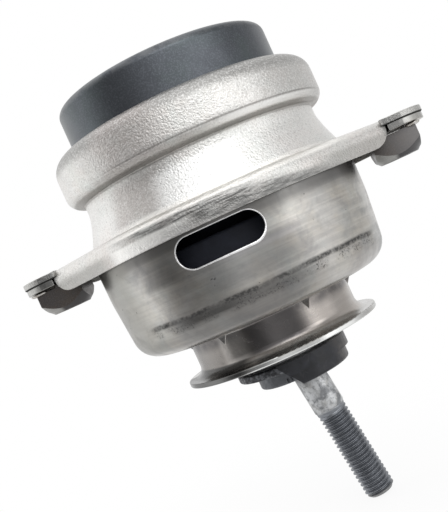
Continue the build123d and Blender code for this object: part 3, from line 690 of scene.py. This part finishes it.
def join(name, parts):
    """One object from several, keeping their places."""
    with bpy.context.temp_override(active_object=parts[0], object=parts[0],
                                   selected_editable_objects=parts, selected_objects=parts):
        bpy.ops.object.join()
    parts[0].name = name
    parts[0].data.name = name
    return parts[0]


# ------------------------------------------------------------ the finishes

def ear_seam(f, base, rough):
    """Dark line where the two ear plates meet, and the sheared edge near the fold, dull from rough shear and painted
    shade.
    """
    part = f.add("ShaderNodeSeparateXYZ", {0: f.at}).outputs
    level = f.math("ABSOLUTE", f.facing()[2])
    out = f.math("MULTIPLY", f.math("ABSOLUTE", part[0]), 1000.0)
    side = f.math("MULTIPLY", f.ramp(level, 0.75, 0.55), f.ramp(out, 66.0, 68.6))
    lines = f.noise(f.add("ShaderNodeMapping", {0: f.at, "Scale": (1500, 1500, 200)}).outputs[0], 3.0)
    cut = f.blend(f.ramp(lines, 0.30, 0.70), (0.37, 0.37, 0.355), (0.46, 0.46, 0.445))
    base = f.blend(f.math("MULTIPLY", side, 0.8), base, cut)
    # the edge near the fold is darker with specks: rough shear, and painted shade where the edge faces away from the
    # light
    rim = f.math("MULTIPLY", f.ramp(out, 75.6, 75.1), side)
    speck = f.ramp(f.noise(f.scaled(f.at, 1.6), 2.0, 0.7), 0.60, 0.45, 0.45, 0.62)
    base = f.blend(f.math("MULTIPLY", rim, speck), base, (0.10, 0.10, 0.10))
    seam = f.math("MULTIPLY", f.band(f.height, -2.5, 0.16, 0.34), f.ramp(out, 66.0, 68.0))
    base = f.blend(f.math("MULTIPLY", seam, 0.9), base, (0.02, 0.02, 0.02))
    return base, f.math("ADD", rough, f.math("MULTIPLY", seam, 0.35))


def blasted_steel(paint):
    """Bright bead-blasted sheet with an orange-peel grain, sheared ear edges, and grey bends of painted shade;
    painted highlights lie on the neck, the heel and the fold.
    """
    f = Finish("Blasted steel", metallic=1.0)
    grain = f.use("Blast Grain", {"Vector": f.at, "Cell mm": 0.62, "Dimples": 0.30})
    broad = f.smudge(22.0, 0.45, 0.2)
    base = f.blend(broad, paint.blasted, darker(paint.blasted, 0.90))
    base = f.blend(f.math("MULTIPLY", f.smudge(9.0, 0.28, 0.2), 0.25), base, (0.60, 0.56, 0.50))
    # painted reflection: pink and green tints in random smudges stand for coloured surroundings mirrored in the
    # steel
    base = f.blend(f.math("MULTIPLY", f.smudge(15.0, 0.40, 0.16), 0.30), base, (0.72, 0.62, 0.58))
    base = f.blend(f.math("MULTIPLY", f.smudge(19.0, 0.34, 0.16), 0.26), base, (0.60, 0.68, 0.64))
    # painted shade greys the collar's shoulder, and a painted highlight brightens the neck
    base = f.blend(f.math("MULTIPLY", f.ramp(f.height, 28.5, 33.0), 0.90), base, darker(paint.blasted, 0.42))
    neck = f.math("MULTIPLY", f.ramp(f.height, 17.5, 13.0), f.ramp(f.height, -1.0, 3.0))
    base = f.blend(f.math("MULTIPLY", neck, 0.35), base, (0.86, 0.86, 0.85))
    # painted shade leaves the neck dull and warm on its left, and a painted highlight makes it bright beside it;
    # painted shade greys the collar's right
    neck_shade = f.math("MULTIPLY", neck, f.band(f.angle, -0.320, 0.026, 0.026))
    base = f.blend(f.math("MULTIPLY", neck_shade, 0.60), base, (0.40, 0.36, 0.34))
    neck_highlight = f.math("MULTIPLY", f.band(f.height, 6.5, 5.0, 3.0), f.band(f.angle, -0.245, 0.036, 0.026))
    base = f.blend(f.math("MULTIPLY", neck_highlight, 0.80), base, (0.97, 0.97, 0.96))
    collar = f.ramp(f.height, 17.5, 19.5)
    base = f.blend(f.math("MULTIPLY", f.math("MULTIPLY", collar, f.band(f.angle, -0.075, 0.045, 0.05)), 0.50),
                   base, darker(paint.blasted, 0.55))
    # a dark pinkish patch of painted shade on the collar's left
    patch = f.math("MULTIPLY", collar, f.band(f.angle, -0.300, 0.020, 0.035))
    base = f.blend(f.math("MULTIPLY", patch, 0.35), base, (0.48, 0.41, 0.39))
    # raised spots of the grain are bright and its hollows dull
    base = f.blend(f.math("MULTIPLY", grain["Spots"], 0.36), base, (0.93, 0.93, 0.92))
    base = f.blend(f.math("MULTIPLY", f.ramp(grain["Height"], 0.46, 0.30), 0.32), base,
                   darker(paint.blasted, 0.38))
    # painted shade, brown, under the collar's heel and in the corner over the neck
    near = f.ramp(f.radius, 53.2, 50.5)
    heel = f.math("MULTIPLY", f.band(f.height, 17.5, 0.35, 0.8), 0.50)
    corner = f.math("MULTIPLY", f.band(f.height, 17.0, 0.25, 0.7), f.math("MULTIPLY", near, 0.45))
    base = f.blend(f.math("MAXIMUM", heel, corner), base, (0.13, 0.115, 0.10))
    # a painted reflection brightens the heel, painted shade dulls it on the left, and a dark line lies over it in
    # front
    bright = f.math("MULTIPLY", f.band(f.height, 19.3, 0.5, 0.8), f.band(f.angle, -0.135, 0.03, 0.08))
    base = f.blend(f.math("MULTIPLY", bright, 0.80), base, (0.96, 0.95, 0.93))
    heel_shade = f.math("MULTIPLY", f.band(f.height, 18.8, 0.9, 0.8), f.band(f.angle, -0.285, 0.045, 0.05))
    base = f.blend(f.math("MULTIPLY", heel_shade, 0.45), base, (0.22, 0.205, 0.19))
    dark_line = f.math("MULTIPLY", f.band(f.height, 20.7, 0.10, 0.34), f.band(f.angle, -0.19, 0.11, 0.06))
    base = f.blend(f.math("MULTIPLY", dark_line, 0.50), base, (0.13, 0.12, 0.11))
    # the top of the fold is rubbed bright and carries a painted highlight; painted shade greys the front under it
    streaks = f.use("Draw Lines", {"Angle": f.angle, "Height": f.height, "Lines per mm": 1.5,
                                   "Runs": 60.0})["Mask"]
    top = f.math("MULTIPLY", f.band(f.height, -0.6, 1.3, 1.1), f.band(f.angle, -0.215, 0.09, 0.08))
    top = f.math("MULTIPLY", top, f.ramp(streaks, 0.30, 0.60, 0.35, 1.0))
    base = f.blend(top, base, (0.98, 0.96, 0.92))
    # the patch of painted shade lies lower towards the right
    slope = f.math("ADD", f.angle, f.math("MULTIPLY", f.height, 0.0165))
    front = f.math("MULTIPLY", f.band(slope, -0.328, 0.036, 0.06), f.band(f.height, -6.0, 2.9, 1.3))
    front = f.math("MULTIPLY", front, f.ramp(f.radius, 54.0, 55.0))
    front = f.math("MULTIPLY", front, f.ramp(streaks, 0.62, 0.38, 0.50, 1.0))
    base = f.blend(f.math("MULTIPLY", front, 0.90), base, (0.09, 0.09, 0.088))
    # painted light makes the skirt bright left of the painted shade, and it is dull where it ends at the left ear
    lit = f.math("MULTIPLY", f.band(f.angle, -0.315, 0.034, 0.026), f.band(f.height, -7.2, 1.6, 1.0))
    base = f.blend(f.math("MULTIPLY", lit, 0.85), base, (0.99, 0.98, 0.955))
    end = f.math("MULTIPLY", f.band(f.angle, -0.43, 0.035, 0.045), f.ramp(f.height, -3.4, -6.5))
    right = f.math("MULTIPLY", f.band(f.angle, -0.045, 0.050, 0.05), f.ramp(f.height, -3.4, -6.0))
    ends = f.math("MULTIPLY", f.math("MAXIMUM", end, right), 0.60)
    base = f.blend(ends, base, (0.27, 0.265, 0.25))
    hem = f.math("MULTIPLY", f.ramp(f.height, -5.8, -7.6), f.band(f.angle, -0.205, 0.065, 0.05))
    base = f.blend(f.math("MULTIPLY", hem, 0.45), base, (0.20, 0.20, 0.195))
    rough = f.math("ADD", 0.33, f.math("MULTIPLY", grain["Height"], 0.14))
    rough = f.math("ADD", rough, f.math("MULTIPLY", broad, 0.05))
    rough = f.math("SUBTRACT", rough, f.math("MULTIPLY", top, 0.08))
    base, rough = ear_seam(f, base, rough)
    return f.finish(base, rough, grain["Height"], 0.30, 1.0)


def drawn_steel(paint):
    """Drawn sheet: smudged and tinted wall, a scuffed ring, pits, and a polished throat."""
    f = Finish("Drawn steel", metallic=1.0)
    tint = f.smudge(26.0, 0.45, 0.2)
    stain = f.smudge(9.0, 0.34, 0.16)
    fine = f.smudge(2.4, 0.36, 0.12)
    teal = f.smudge(17.0, 0.30, 0.2)
    straw = f.smudge(14.0, 0.34, 0.2)
    base = f.blend(f.math("MULTIPLY", tint, 0.45), paint.drawn, paint.smoke)
    base = f.blend(f.math("MULTIPLY", teal, 0.40), base, (0.37, 0.44, 0.44))
    base = f.blend(f.math("MULTIPLY", straw, 0.30), base, (0.52, 0.46, 0.34))
    base = f.blend(f.math("MULTIPLY", stain, 0.42), base, (0.20, 0.205, 0.22))
    base = f.blend(f.math("MULTIPLY", fine, 0.16), base, (0.16, 0.16, 0.16))
    # streaks of the drawing, long round the wall
    streaks = f.use("Draw Lines", {"Angle": f.angle, "Height": f.height, "Lines per mm": 0.55,
                                   "Runs": 9.0})["Mask"]
    base = f.blend(f.ramp(streaks, 0.42, 0.62, 0.0, 0.26), base, (0.24, 0.24, 0.245))
    base = f.blend(f.ramp(streaks, 0.46, 0.32, 0.0, 0.22), base, (0.66, 0.65, 0.62))
    # the scuffed ring low on the front: a soft dark line, and a peppered strip under it
    waver = f.math("ADD", f.height, f.math("MULTIPLY", f.math("SUBTRACT", f.noise(
        f.scaled(f.at, 0.09)), 0.5), 1.2))
    reach = f.band(f.angle, -0.220, 0.140, 0.022)
    patchy = f.ramp(f.noise(f.scaled(f.at, 0.16), 3.0, 0.6), 0.40, 0.58)
    broken = f.ramp(f.noise(f.scaled(f.at, 0.9), 3.0, 0.6), 0.28, 0.60, 0.55, 1.0)
    line = f.math("MULTIPLY", f.band(waver, -35.6, 0.30, 1.15), broken)
    line = f.math("MULTIPLY", line, f.ramp(patchy, 0.0, 1.0, 0.62, 0.88))
    pepper = f.ramp(f.noise(f.scaled(f.at, 1.5), 3.0, 0.75), 0.52, 0.62)
    strip = f.math("MULTIPLY", f.band(waver, -37.6, 1.4, 1.4), patchy)
    strip = f.math("MULTIPLY", strip, f.math("ADD", 0.14, f.math("MULTIPLY", pepper, 0.62)))
    scuff = f.math("MULTIPLY", f.math("MAXIMUM", line, strip), reach)
    specks = f.math("MULTIPLY", f.pits(6.5, 0.42, 0.115), 0.75)
    dirt = f.math("MAXIMUM", scuff, specks)
    # the turn under the ring is dull and dark in front: painted shade, with some real grime
    turn = f.math("MULTIPLY", f.band(f.height, -40.5, 3.4, 2.4), f.band(f.angle, -0.262, 0.05, 0.07))
    base = f.blend(f.math("MULTIPLY", turn, 0.66), base, (0.09, 0.09, 0.09))
    # a painted highlight lies along the slot's lower edge, and the wall under the slot is darker in front
    slot_highlight = f.math("MULTIPLY", f.band(f.height, -23.0, 0.5, 1.4), f.band(f.angle, -0.215, 0.022, 0.030))
    base = f.blend(f.math("MULTIPLY", slot_highlight, 0.22), base, (0.70, 0.69, 0.74))
    under_slot = f.math("MULTIPLY", f.band(f.height, -26.5, 4.5, 3.0), f.band(f.angle, -0.228, 0.028, 0.035))
    base = f.blend(f.math("MULTIPLY", under_slot, 0.28), base, (0.20, 0.20, 0.205))
    # the wall is darker under the skirt: painted shadow of the skirt, with dust and oil
    under = f.math("MULTIPLY", f.ramp(f.height, -16.5, -11.5), f.ramp(f.radius, 56.0, 55.0))
    base = f.blend(f.math("MULTIPLY", under, 0.86), base, (0.13, 0.128, 0.125))
    left = f.math("MULTIPLY", f.band(f.angle, -0.432, 0.042, 0.045), f.ramp(f.radius, 48.0, 50.0))
    base = f.blend(f.math("MULTIPLY", left, 0.74), base, (0.22, 0.215, 0.195))
    # a dark smudge left of the slot
    mark = f.math("MULTIPLY", f.band(f.height, -19.0, 2.5, 3.5), f.band(f.angle, -0.325, 0.010, 0.030))
    base = f.blend(f.math("MULTIPLY", mark, 0.50), base, (0.10, 0.10, 0.105))
    base = f.blend(dirt, base, paint.grime)
    # the throat is polished by the die; painted shade darkens it in front and right under the bowl
    throat = f.math("MULTIPLY", f.ramp(f.height, -45.5, -48.5), f.ramp(f.radius, 46.0, 42.0))
    base = f.blend(f.math("MULTIPLY", throat, 0.7), base, (0.35, 0.315, 0.29))
    base = f.blend(f.math("MULTIPLY", f.math("MULTIPLY", throat, f.band(f.angle, -0.405, 0.05, 0.03)), 0.66),
                   base, (0.12, 0.115, 0.11))
    base = f.blend(f.math("MULTIPLY", f.ramp(f.height, -59.6, -61.0), 0.8), base, (0.50, 0.50, 0.49))
    # painted light makes the rim paler in front, and it is dull at its left end
    front = f.math("MULTIPLY", f.ramp(f.height, -58.6, -60.2), f.band(f.angle, -0.240, 0.11, 0.06))
    base = f.blend(f.math("MULTIPLY", front, 0.85), base, (0.74, 0.75, 0.74))
    end = f.math("MULTIPLY", f.ramp(f.height, -59.6, -61.0), f.band(f.angle, -0.450, 0.035, 0.04))
    base = f.blend(f.math("MULTIPLY", end, 0.65), base, (0.20, 0.20, 0.195))
    # painted shade lies in the rim's hollow, most on its left
    hollow_shade = f.math("MULTIPLY", f.band(f.radius, 36.2, 1.5, 1.0), f.band(f.height, -59.6, 1.8, 1.2))
    hollow_shade = f.math("MULTIPLY", hollow_shade, f.band(f.angle, -0.42, 0.07, 0.06))
    base = f.blend(f.math("MULTIPLY", hollow_shade, 0.85), base, (0.06, 0.06, 0.06))
    shade = f.math("MULTIPLY", f.band(f.angle, -0.240, 0.036, 0.045), f.ramp(f.height, -59.5, -57.5))
    under_bowl_shade = f.math("MULTIPLY", f.ramp(f.height, -53.0, -49.0),
                   f.ramp(f.noise(f.scaled(f.at, 0.2), 3.0), 0.30, 0.60, 0.5, 0.9))
    throat_shade = f.math("MULTIPLY", throat, f.math("MAXIMUM", shade, under_bowl_shade))
    base = f.blend(f.math("MULTIPLY", throat_shade, 0.84), base, (0.062, 0.060, 0.064))
    # painted shade darkens the left dart, and painted light brightens the wall beside it
    wall_light = f.math("MULTIPLY", throat, f.band(f.angle, -0.320, 0.010, 0.024))
    base = f.blend(f.math("MULTIPLY", wall_light, 0.45), base, (0.62, 0.60, 0.58))
    dart = f.math("MULTIPLY", f.ramp(f.angle, -0.285, -0.315), f.ramp(f.height, -47.2, -47.7))
    dart = f.math("MULTIPLY", dart, f.ramp(f.radius, 32.90, 33.15))
    base = f.blend(f.math("MULTIPLY", f.math("MULTIPLY", dart, throat), 0.85), base, (0.05, 0.05, 0.05))
    lines = f.use("Draw Lines", {"Angle": f.angle, "Height": f.height, "Lines per mm": 2.6,
                                 "Runs": 10.0})["Mask"]
    rough = f.math("ADD", 0.30, f.math("MULTIPLY", stain, 0.10))
    rough = f.math("SUBTRACT", rough, f.math("MULTIPLY", throat, 0.09))
    rough = f.math("ADD", rough, f.math("MULTIPLY", dirt, 0.30))
    height = f.math("ADD", f.math("MULTIPLY", lines, 0.35), f.math("MULTIPLY", f.noise(
        f.scaled(f.at, 0.35), 3.0, 0.6), 0.9))
    height = f.math("SUBTRACT", height, f.math("MULTIPLY", dirt, 0.5))
    base, rough = ear_seam(f, base, rough)
    return f.finish(base, rough, height, 0.08, 0.5)


def cap_coating(paint):
    """Satin black coating on steel, with a fine powder grain and a rubbed top edge."""
    f = Finish("Cap coating", metallic=0.9)
    grain = f.use("Blast Grain", {"Vector": f.at, "Cell mm": 0.55, "Dimples": 0.2})
    cloud = f.smudge(15.0, 0.42, 0.2)
    base = f.blend(cloud, paint.cap, darker(paint.cap, 0.75))
    base = f.blend(f.math("MULTIPLY", f.smudge(20.0, 0.42, 0.16), 0.5), base, (0.085, 0.105, 0.105))
    base = f.blend(f.math("MULTIPLY", grain["Spots"], 0.40), base, darker(paint.cap, 1.7))
    rub = f.math("MULTIPLY", f.math("MULTIPLY", f.band(f.height, 52.6, 0.7, 1.2),
                                    f.band(f.radius, 42.2, 0.7, 1.2)), f.smudge(4.0, 0.5, 0.2))
    base = f.blend(f.math("MULTIPLY", rub, 0.4), base, (0.20, 0.205, 0.21))
    rough = f.math("ADD", 0.27, f.math("MULTIPLY", cloud, 0.06))
    rough = f.math("ADD", rough, f.math("MULTIPLY", grain["Height"], 0.08))
    return f.finish(base, rough, grain["Height"], 0.05, 0.5)


def nut_steel(paint):
    """Dark oiled nut with brown patches, a turned chamfer painted bright on one side as a highlight, and a threaded
    hole.
    """
    f = Finish("Nut steel", metallic=0.85)
    patch = f.smudge(6.0, 0.45, 0.16)
    base = f.blend(patch, paint.nut, (0.10, 0.085, 0.075))
    grain = f.use("Blast Grain", {"Vector": f.at, "Cell mm": 0.5, "Dimples": 0.2})
    base = f.blend(f.math("MULTIPLY", grain["Spots"], 0.18), base, (0.22, 0.21, 0.20))
    # distance from the nut's own axis
    part = f.add("ShaderNodeSeparateXYZ", {0: f.at}).outputs
    # the right nut is worn greyer, most at its outer end
    base = f.blend(f.ramp(part[0], 0.062, 0.080, 0.0, 0.75), base, (0.24, 0.235, 0.235))
    away = f.math("SUBTRACT", f.math("ABSOLUTE", part[0]), HOLE_X)
    square = f.math("ADD", f.math("MULTIPLY", away, away), f.math("MULTIPLY", part[1], part[1]))
    from_axis = f.math("MULTIPLY", f.math("SQRT", square), 1000.0)
    # the chamfer has rings left by the tool; it is painted bright on the side facing -X and dark elsewhere, as
    # painted highlight and shade
    facing = f.facing()
    cone = f.math("MULTIPLY", f.ramp(facing[2], -0.15, -0.45), f.ramp(from_axis, 7.2, 7.8))
    turned = f.noise(f.add("ShaderNodeCombineXYZ", {0: f.math("MULTIPLY", from_axis, 5.0)}).outputs[0], 2.0)
    bright = f.blend(f.ramp(turned, 0.35, 0.65), (0.26, 0.26, 0.25), (0.40, 0.40, 0.385))
    chamfer_light = f.blend(f.ramp(facing[0], -0.04, -0.22), (0.05, 0.05, 0.052), bright)
    base = f.blend(f.math("MULTIPLY", cone, 0.8), base, chamfer_light)
    # thread of the bore: a wave along the height that climbs one pitch in a turn
    bore = f.ramp(from_axis, 5.6, 5.2)
    climb = f.math("ADD", f.math("MULTIPLY", f.height, 2 * math.pi / 1.75),
                   f.math("ARCTAN2", part[1], away))
    wave = f.math("MULTIPLY", f.math("SINE", climb), bore)
    rough = f.math("ADD", 0.30, f.math("MULTIPLY", patch, 0.12))
    height = f.math("ADD", f.math("MULTIPLY", wave, 2.5), f.math("MULTIPLY", grain["Height"], 0.3))
    return f.finish(base, rough, height, 0.12, 0.6)


def weld_metal(paint):
    """Bright fused metal with a straw and blue heat tint."""
    f = Finish("Weld metal", metallic=1.0)
    heat = f.smudge(1.6, 0.5, 0.2)
    base = f.blend(heat, (0.62, 0.61, 0.59), (0.38, 0.35, 0.31))
    grain = f.use("Blast Grain", {"Vector": f.at, "Cell mm": 0.35, "Dimples": 0.3})
    base = f.blend(f.math("MULTIPLY", grain["Spots"], 0.15), base, paint.nut)
    return f.finish(base, f.math("ADD", 0.28, f.math("MULTIPLY", heat, 0.15)), grain["Height"], 0.08, 0.6)


def lit_slot_edge(paint):
    """Bright metal of the slot's lip, a painted highlight of the lit cut edge."""
    f = Finish("Lit slot edge", metallic=1.0)
    rub = f.smudge(3.0, 0.45, 0.2)
    base = f.blend(rub, (0.90, 0.895, 0.90), (0.62, 0.62, 0.63))
    return f.finish(base, f.math("ADD", 0.24, f.math("MULTIPLY", rub, 0.12)),
                    f.noise(f.scaled(f.at, 2.0), 2.0), 0.03, 0.4)


def boss_alloy(paint):
    """Grey casting, mottled dark on the disc's rim and smoother on the boss."""
    f = Finish("Boss alloy", metallic=0.9)
    mottle = f.smudge(1.3, 0.55, 0.10)
    broad = f.smudge(6.0, 0.4, 0.16)
    disc = f.ramp(f.radius, 16.5, 18.0)
    base = f.blend(f.math("MULTIPLY", broad, 0.5), paint.boss, darker(paint.boss, 0.5))
    base = f.blend(f.math("MULTIPLY", f.math("MULTIPLY", mottle, disc), 0.85), base, (0.035, 0.035, 0.038))
    pale = f.math("MULTIPLY", f.pits(1.1, 0.5, 0.3), disc)
    base = f.blend(f.math("MULTIPLY", pale, 0.32), base, (0.30, 0.30, 0.29))
    grain = f.use("Blast Grain", {"Vector": f.at, "Cell mm": 0.6, "Dimples": 0.3})
    rough = f.math("ADD", 0.42, f.math("MULTIPLY", mottle, 0.15))
    height = f.math("SUBTRACT", grain["Height"], f.math("MULTIPLY", f.math("MULTIPLY", mottle, disc), 0.8))
    return f.finish(base, rough, height, 0.10, 0.6)


def stud_steel(paint):
    """Blotchy pale shank and dark phosphated thread with rubbed crests."""
    f = Finish("Stud steel", metallic=0.95)
    along = f.add("ShaderNodeAttribute", attribute_name="along_mm").outputs["Fac"]
    threaded = f.ramp(along, -0.8, 0.6)
    blot = f.smudge(4.2, 0.46, 0.09)
    spots = f.smudge(1.3, 0.36, 0.10)
    brown = f.smudge(3.0, 0.36, 0.16)
    shank = f.blend(f.math("MULTIPLY", brown, 0.6), paint.shank, (0.30, 0.29, 0.265))
    shank = f.blend(f.math("MULTIPLY", blot, 0.75), shank, (0.14, 0.145, 0.155))
    shank = f.blend(f.math("MULTIPLY", spots, 0.55), shank, (0.11, 0.115, 0.12))
    shank = f.blend(f.math("MULTIPLY", f.ramp(along, -11.0, -16.5), 0.7), shank, (0.06, 0.06, 0.065))
    oxide = f.smudge(3.4, 0.4, 0.18)
    thread = f.blend(f.math("MULTIPLY", oxide, 0.6), paint.thread, darker(paint.thread, 1.4))
    # the chamfer and the end are rubbed
    thread = f.blend(f.math("MULTIPLY", f.ramp(along, 36.0, 37.2), 0.6), thread, (0.19, 0.185, 0.175))
    base = f.blend(threaded, shank, thread)
    rough = f.math("ADD", 0.34, f.math("MULTIPLY", f.math("MAXIMUM", blot, oxide), 0.12))
    grain = f.use("Blast Grain", {"Vector": f.at, "Cell mm": 0.5, "Dimples": 0.2})
    return f.finish(base, rough, grain["Height"], 0.06, 0.5)


def moulded_rubber(paint):
    """Smooth blue-black rubber with a dusty bloom and rubbed patches."""
    f = Finish("Moulded rubber", metallic=0.0, specular=0.40)
    bloom = f.smudge(7.0, 0.36, 0.2)
    base = f.blend(bloom, darker(paint.rubber, 0.7), darker(paint.rubber, 2.2))
    # painted light: the outer end is lighter in smudges, where the light from the right falls
    part = f.add("ShaderNodeSeparateXYZ", {0: f.at}).outputs
    end_light = f.math("MULTIPLY", f.ramp(part[0], 0.0165, 0.0205), f.smudge(3.0, 0.62, 0.25))
    base = f.blend(f.math("MULTIPLY", end_light, 0.7), base, (0.075, 0.068, 0.066))
    rub = f.smudge(2.6, 0.22, 0.14)
    base = f.blend(f.math("MULTIPLY", rub, 0.4), base, (0.07, 0.068, 0.068))
    grain = f.use("Blast Grain", {"Vector": f.at, "Cell mm": 0.6, "Dimples": 0.3})
    rough = f.math("ADD", 0.34, f.math("MULTIPLY", bloom, 0.16))
    height = f.math("ADD", grain["Height"], f.math("MULTIPLY", f.noise(f.scaled(f.at, 0.25), 2.0), 3.0))
    return f.finish(base, rough, height, 0.07, 0.5)


def inner_rubber(paint):
    """Matt black rubber of the pieces inside the canister."""
    f = Finish("Inner rubber", metallic=0.0, specular=0.18)
    film = f.smudge(6.0, 0.4, 0.2)
    base = f.blend(film, darker(paint.rubber, 2.0), darker(paint.rubber, 3.0))
    grain = f.use("Blast Grain", {"Vector": f.at, "Cell mm": 0.8, "Dimples": 0.4})
    rough = f.math("ADD", 0.60, f.math("MULTIPLY", film, 0.15))
    return f.finish(base, rough, grain["Height"], 0.06, 0.5)


def inner_sheet(paint):
    """Phosphated sheet inside the mount."""
    f = Finish("Inner sheet", metallic=0.9)
    crystal = f.use("Blast Grain", {"Vector": f.at, "Cell mm": 0.4, "Dimples": 0.5})
    cloud = f.smudge(10.0, 0.45, 0.2)
    base = f.blend(cloud, paint.inner, darker(paint.inner, 0.7))
    base = f.blend(f.math("MULTIPLY", crystal["Spots"], 0.3), base, (0.42, 0.42, 0.43))
    return f.finish(base, f.math("ADD", 0.45, f.math("MULTIPLY", cloud, 0.1)), crystal["Height"], 0.04, 0.5)


def rough_casting(paint):
    """As-cast alloy with a sandy skin and small pores."""
    f = Finish("Rough casting", metallic=1.0)
    skin = f.use("Blast Grain", {"Vector": f.at, "Cell mm": 0.9, "Dimples": 0.5})
    pores = f.pits(2.6, 0.4, 0.16)
    base = f.blend(f.smudge(8.0, 0.4, 0.2), paint.casting, darker(paint.casting, 0.75))
    base = f.blend(f.math("MULTIPLY", pores, 0.7), base, (0.10, 0.10, 0.10))
    height = f.math("SUBTRACT", skin["Height"], pores)
    return f.finish(base, f.math("ADD", 0.48, f.math("MULTIPLY", skin["Spots"], 0.08)), height, 0.12, 0.6)


class MOUNT_OT_steels(bpy.types.Operator):
    """Finishes of both housings, the nuts, the boss and the inner metal"""
    bl_idname = "mount.steels"
    bl_label = "Metals"

    def execute(self, context):
        paint = context.scene.mount_colours
        wear("upper_housing", blasted_steel(paint))
        wear("lower_housing", drawn_steel(paint))
        nut = nut_steel(paint)
        wear("weld_nut_left", nut)
        wear("weld_nut_right", nut)
        wear("end_boss", boss_alloy(paint))
        wear("stud", stud_steel(paint))
        sheet = inner_sheet(paint)
        for node in ("outer_ring", "limiter_plate", "track_lid"):
            wear(node, sheet)
        casting = rough_casting(paint)
        for node in ("core", "track_body"):
            wear(node, casting)
        return {"FINISHED"}


class MOUNT_OT_blacks(bpy.types.Operator):
    """Finishes of the cap and of every rubber piece"""
    bl_idname = "mount.blacks"
    bl_label = "Cap and rubber"

    def execute(self, context):
        paint = context.scene.mount_colours
        wear("reservoir_cap", cap_coating(paint))
        wear("boss_lobe", moulded_rubber(paint))
        rubber = inner_rubber(paint)
        for node in ("bump_bumper", "rebound_bumper", "throat_sleeve", "main_rubber", "membrane",
                     "bellows", "seal_ring"):
            wear(node, rubber)
        return {"FINISHED"}


class MOUNT_PT_panel(bpy.types.Panel):
    """Lists the steps and the values they read"""
    bl_label = "Engine Mount"
    bl_idname = "MOUNT_PT_panel"
    bl_space_type = "VIEW_3D"
    bl_region_type = "UI"
    bl_category = "Engine Mount"

    def draw(self, context):
        for step in STEPS:
            self.layout.operator(step.bl_idname)
        for title, group in (("Shapes", context.scene.mount_shapes),
                             ("Colours", context.scene.mount_colours),
                             ("Stage", context.scene.mount_stage)):
            box = self.layout.box()
            box.label(text=title)
            for key in group.__annotations__:
                box.prop(group, key)


STEPS = (MOUNT_OT_stage, MOUNT_OT_steels, MOUNT_OT_blacks, MOUNT_OT_stud, MOUNT_OT_weld_beads,
         MOUNT_OT_slot_lip)
GROUPS = (("mount_shapes", MountShapes), ("mount_colours", MountColours), ("mount_stage", MountStage))


def register():
    for name, group in GROUPS:
        bpy.utils.register_class(group)
        setattr(bpy.types.Scene, name, PointerProperty(type=group))
    for step in STEPS + (MOUNT_PT_panel,):
        bpy.utils.register_class(step)


def unregister():
    for step in reversed(STEPS + (MOUNT_PT_panel,)):
        bpy.utils.unregister_class(step)
    for name, group in GROUPS:
        delattr(bpy.types.Scene, name)
        bpy.utils.unregister_class(group)


def main():
    """Runs every step in order."""
    register()
    bpy.ops.mount.stage()
    bpy.ops.mount.steels()
    bpy.ops.mount.blacks()
    bpy.ops.mount.stud()
    bpy.ops.mount.weld_beads()
    bpy.ops.mount.slot_lip()
    bpy.context.view_layer.update()


if __name__ == "__main__":
    main()
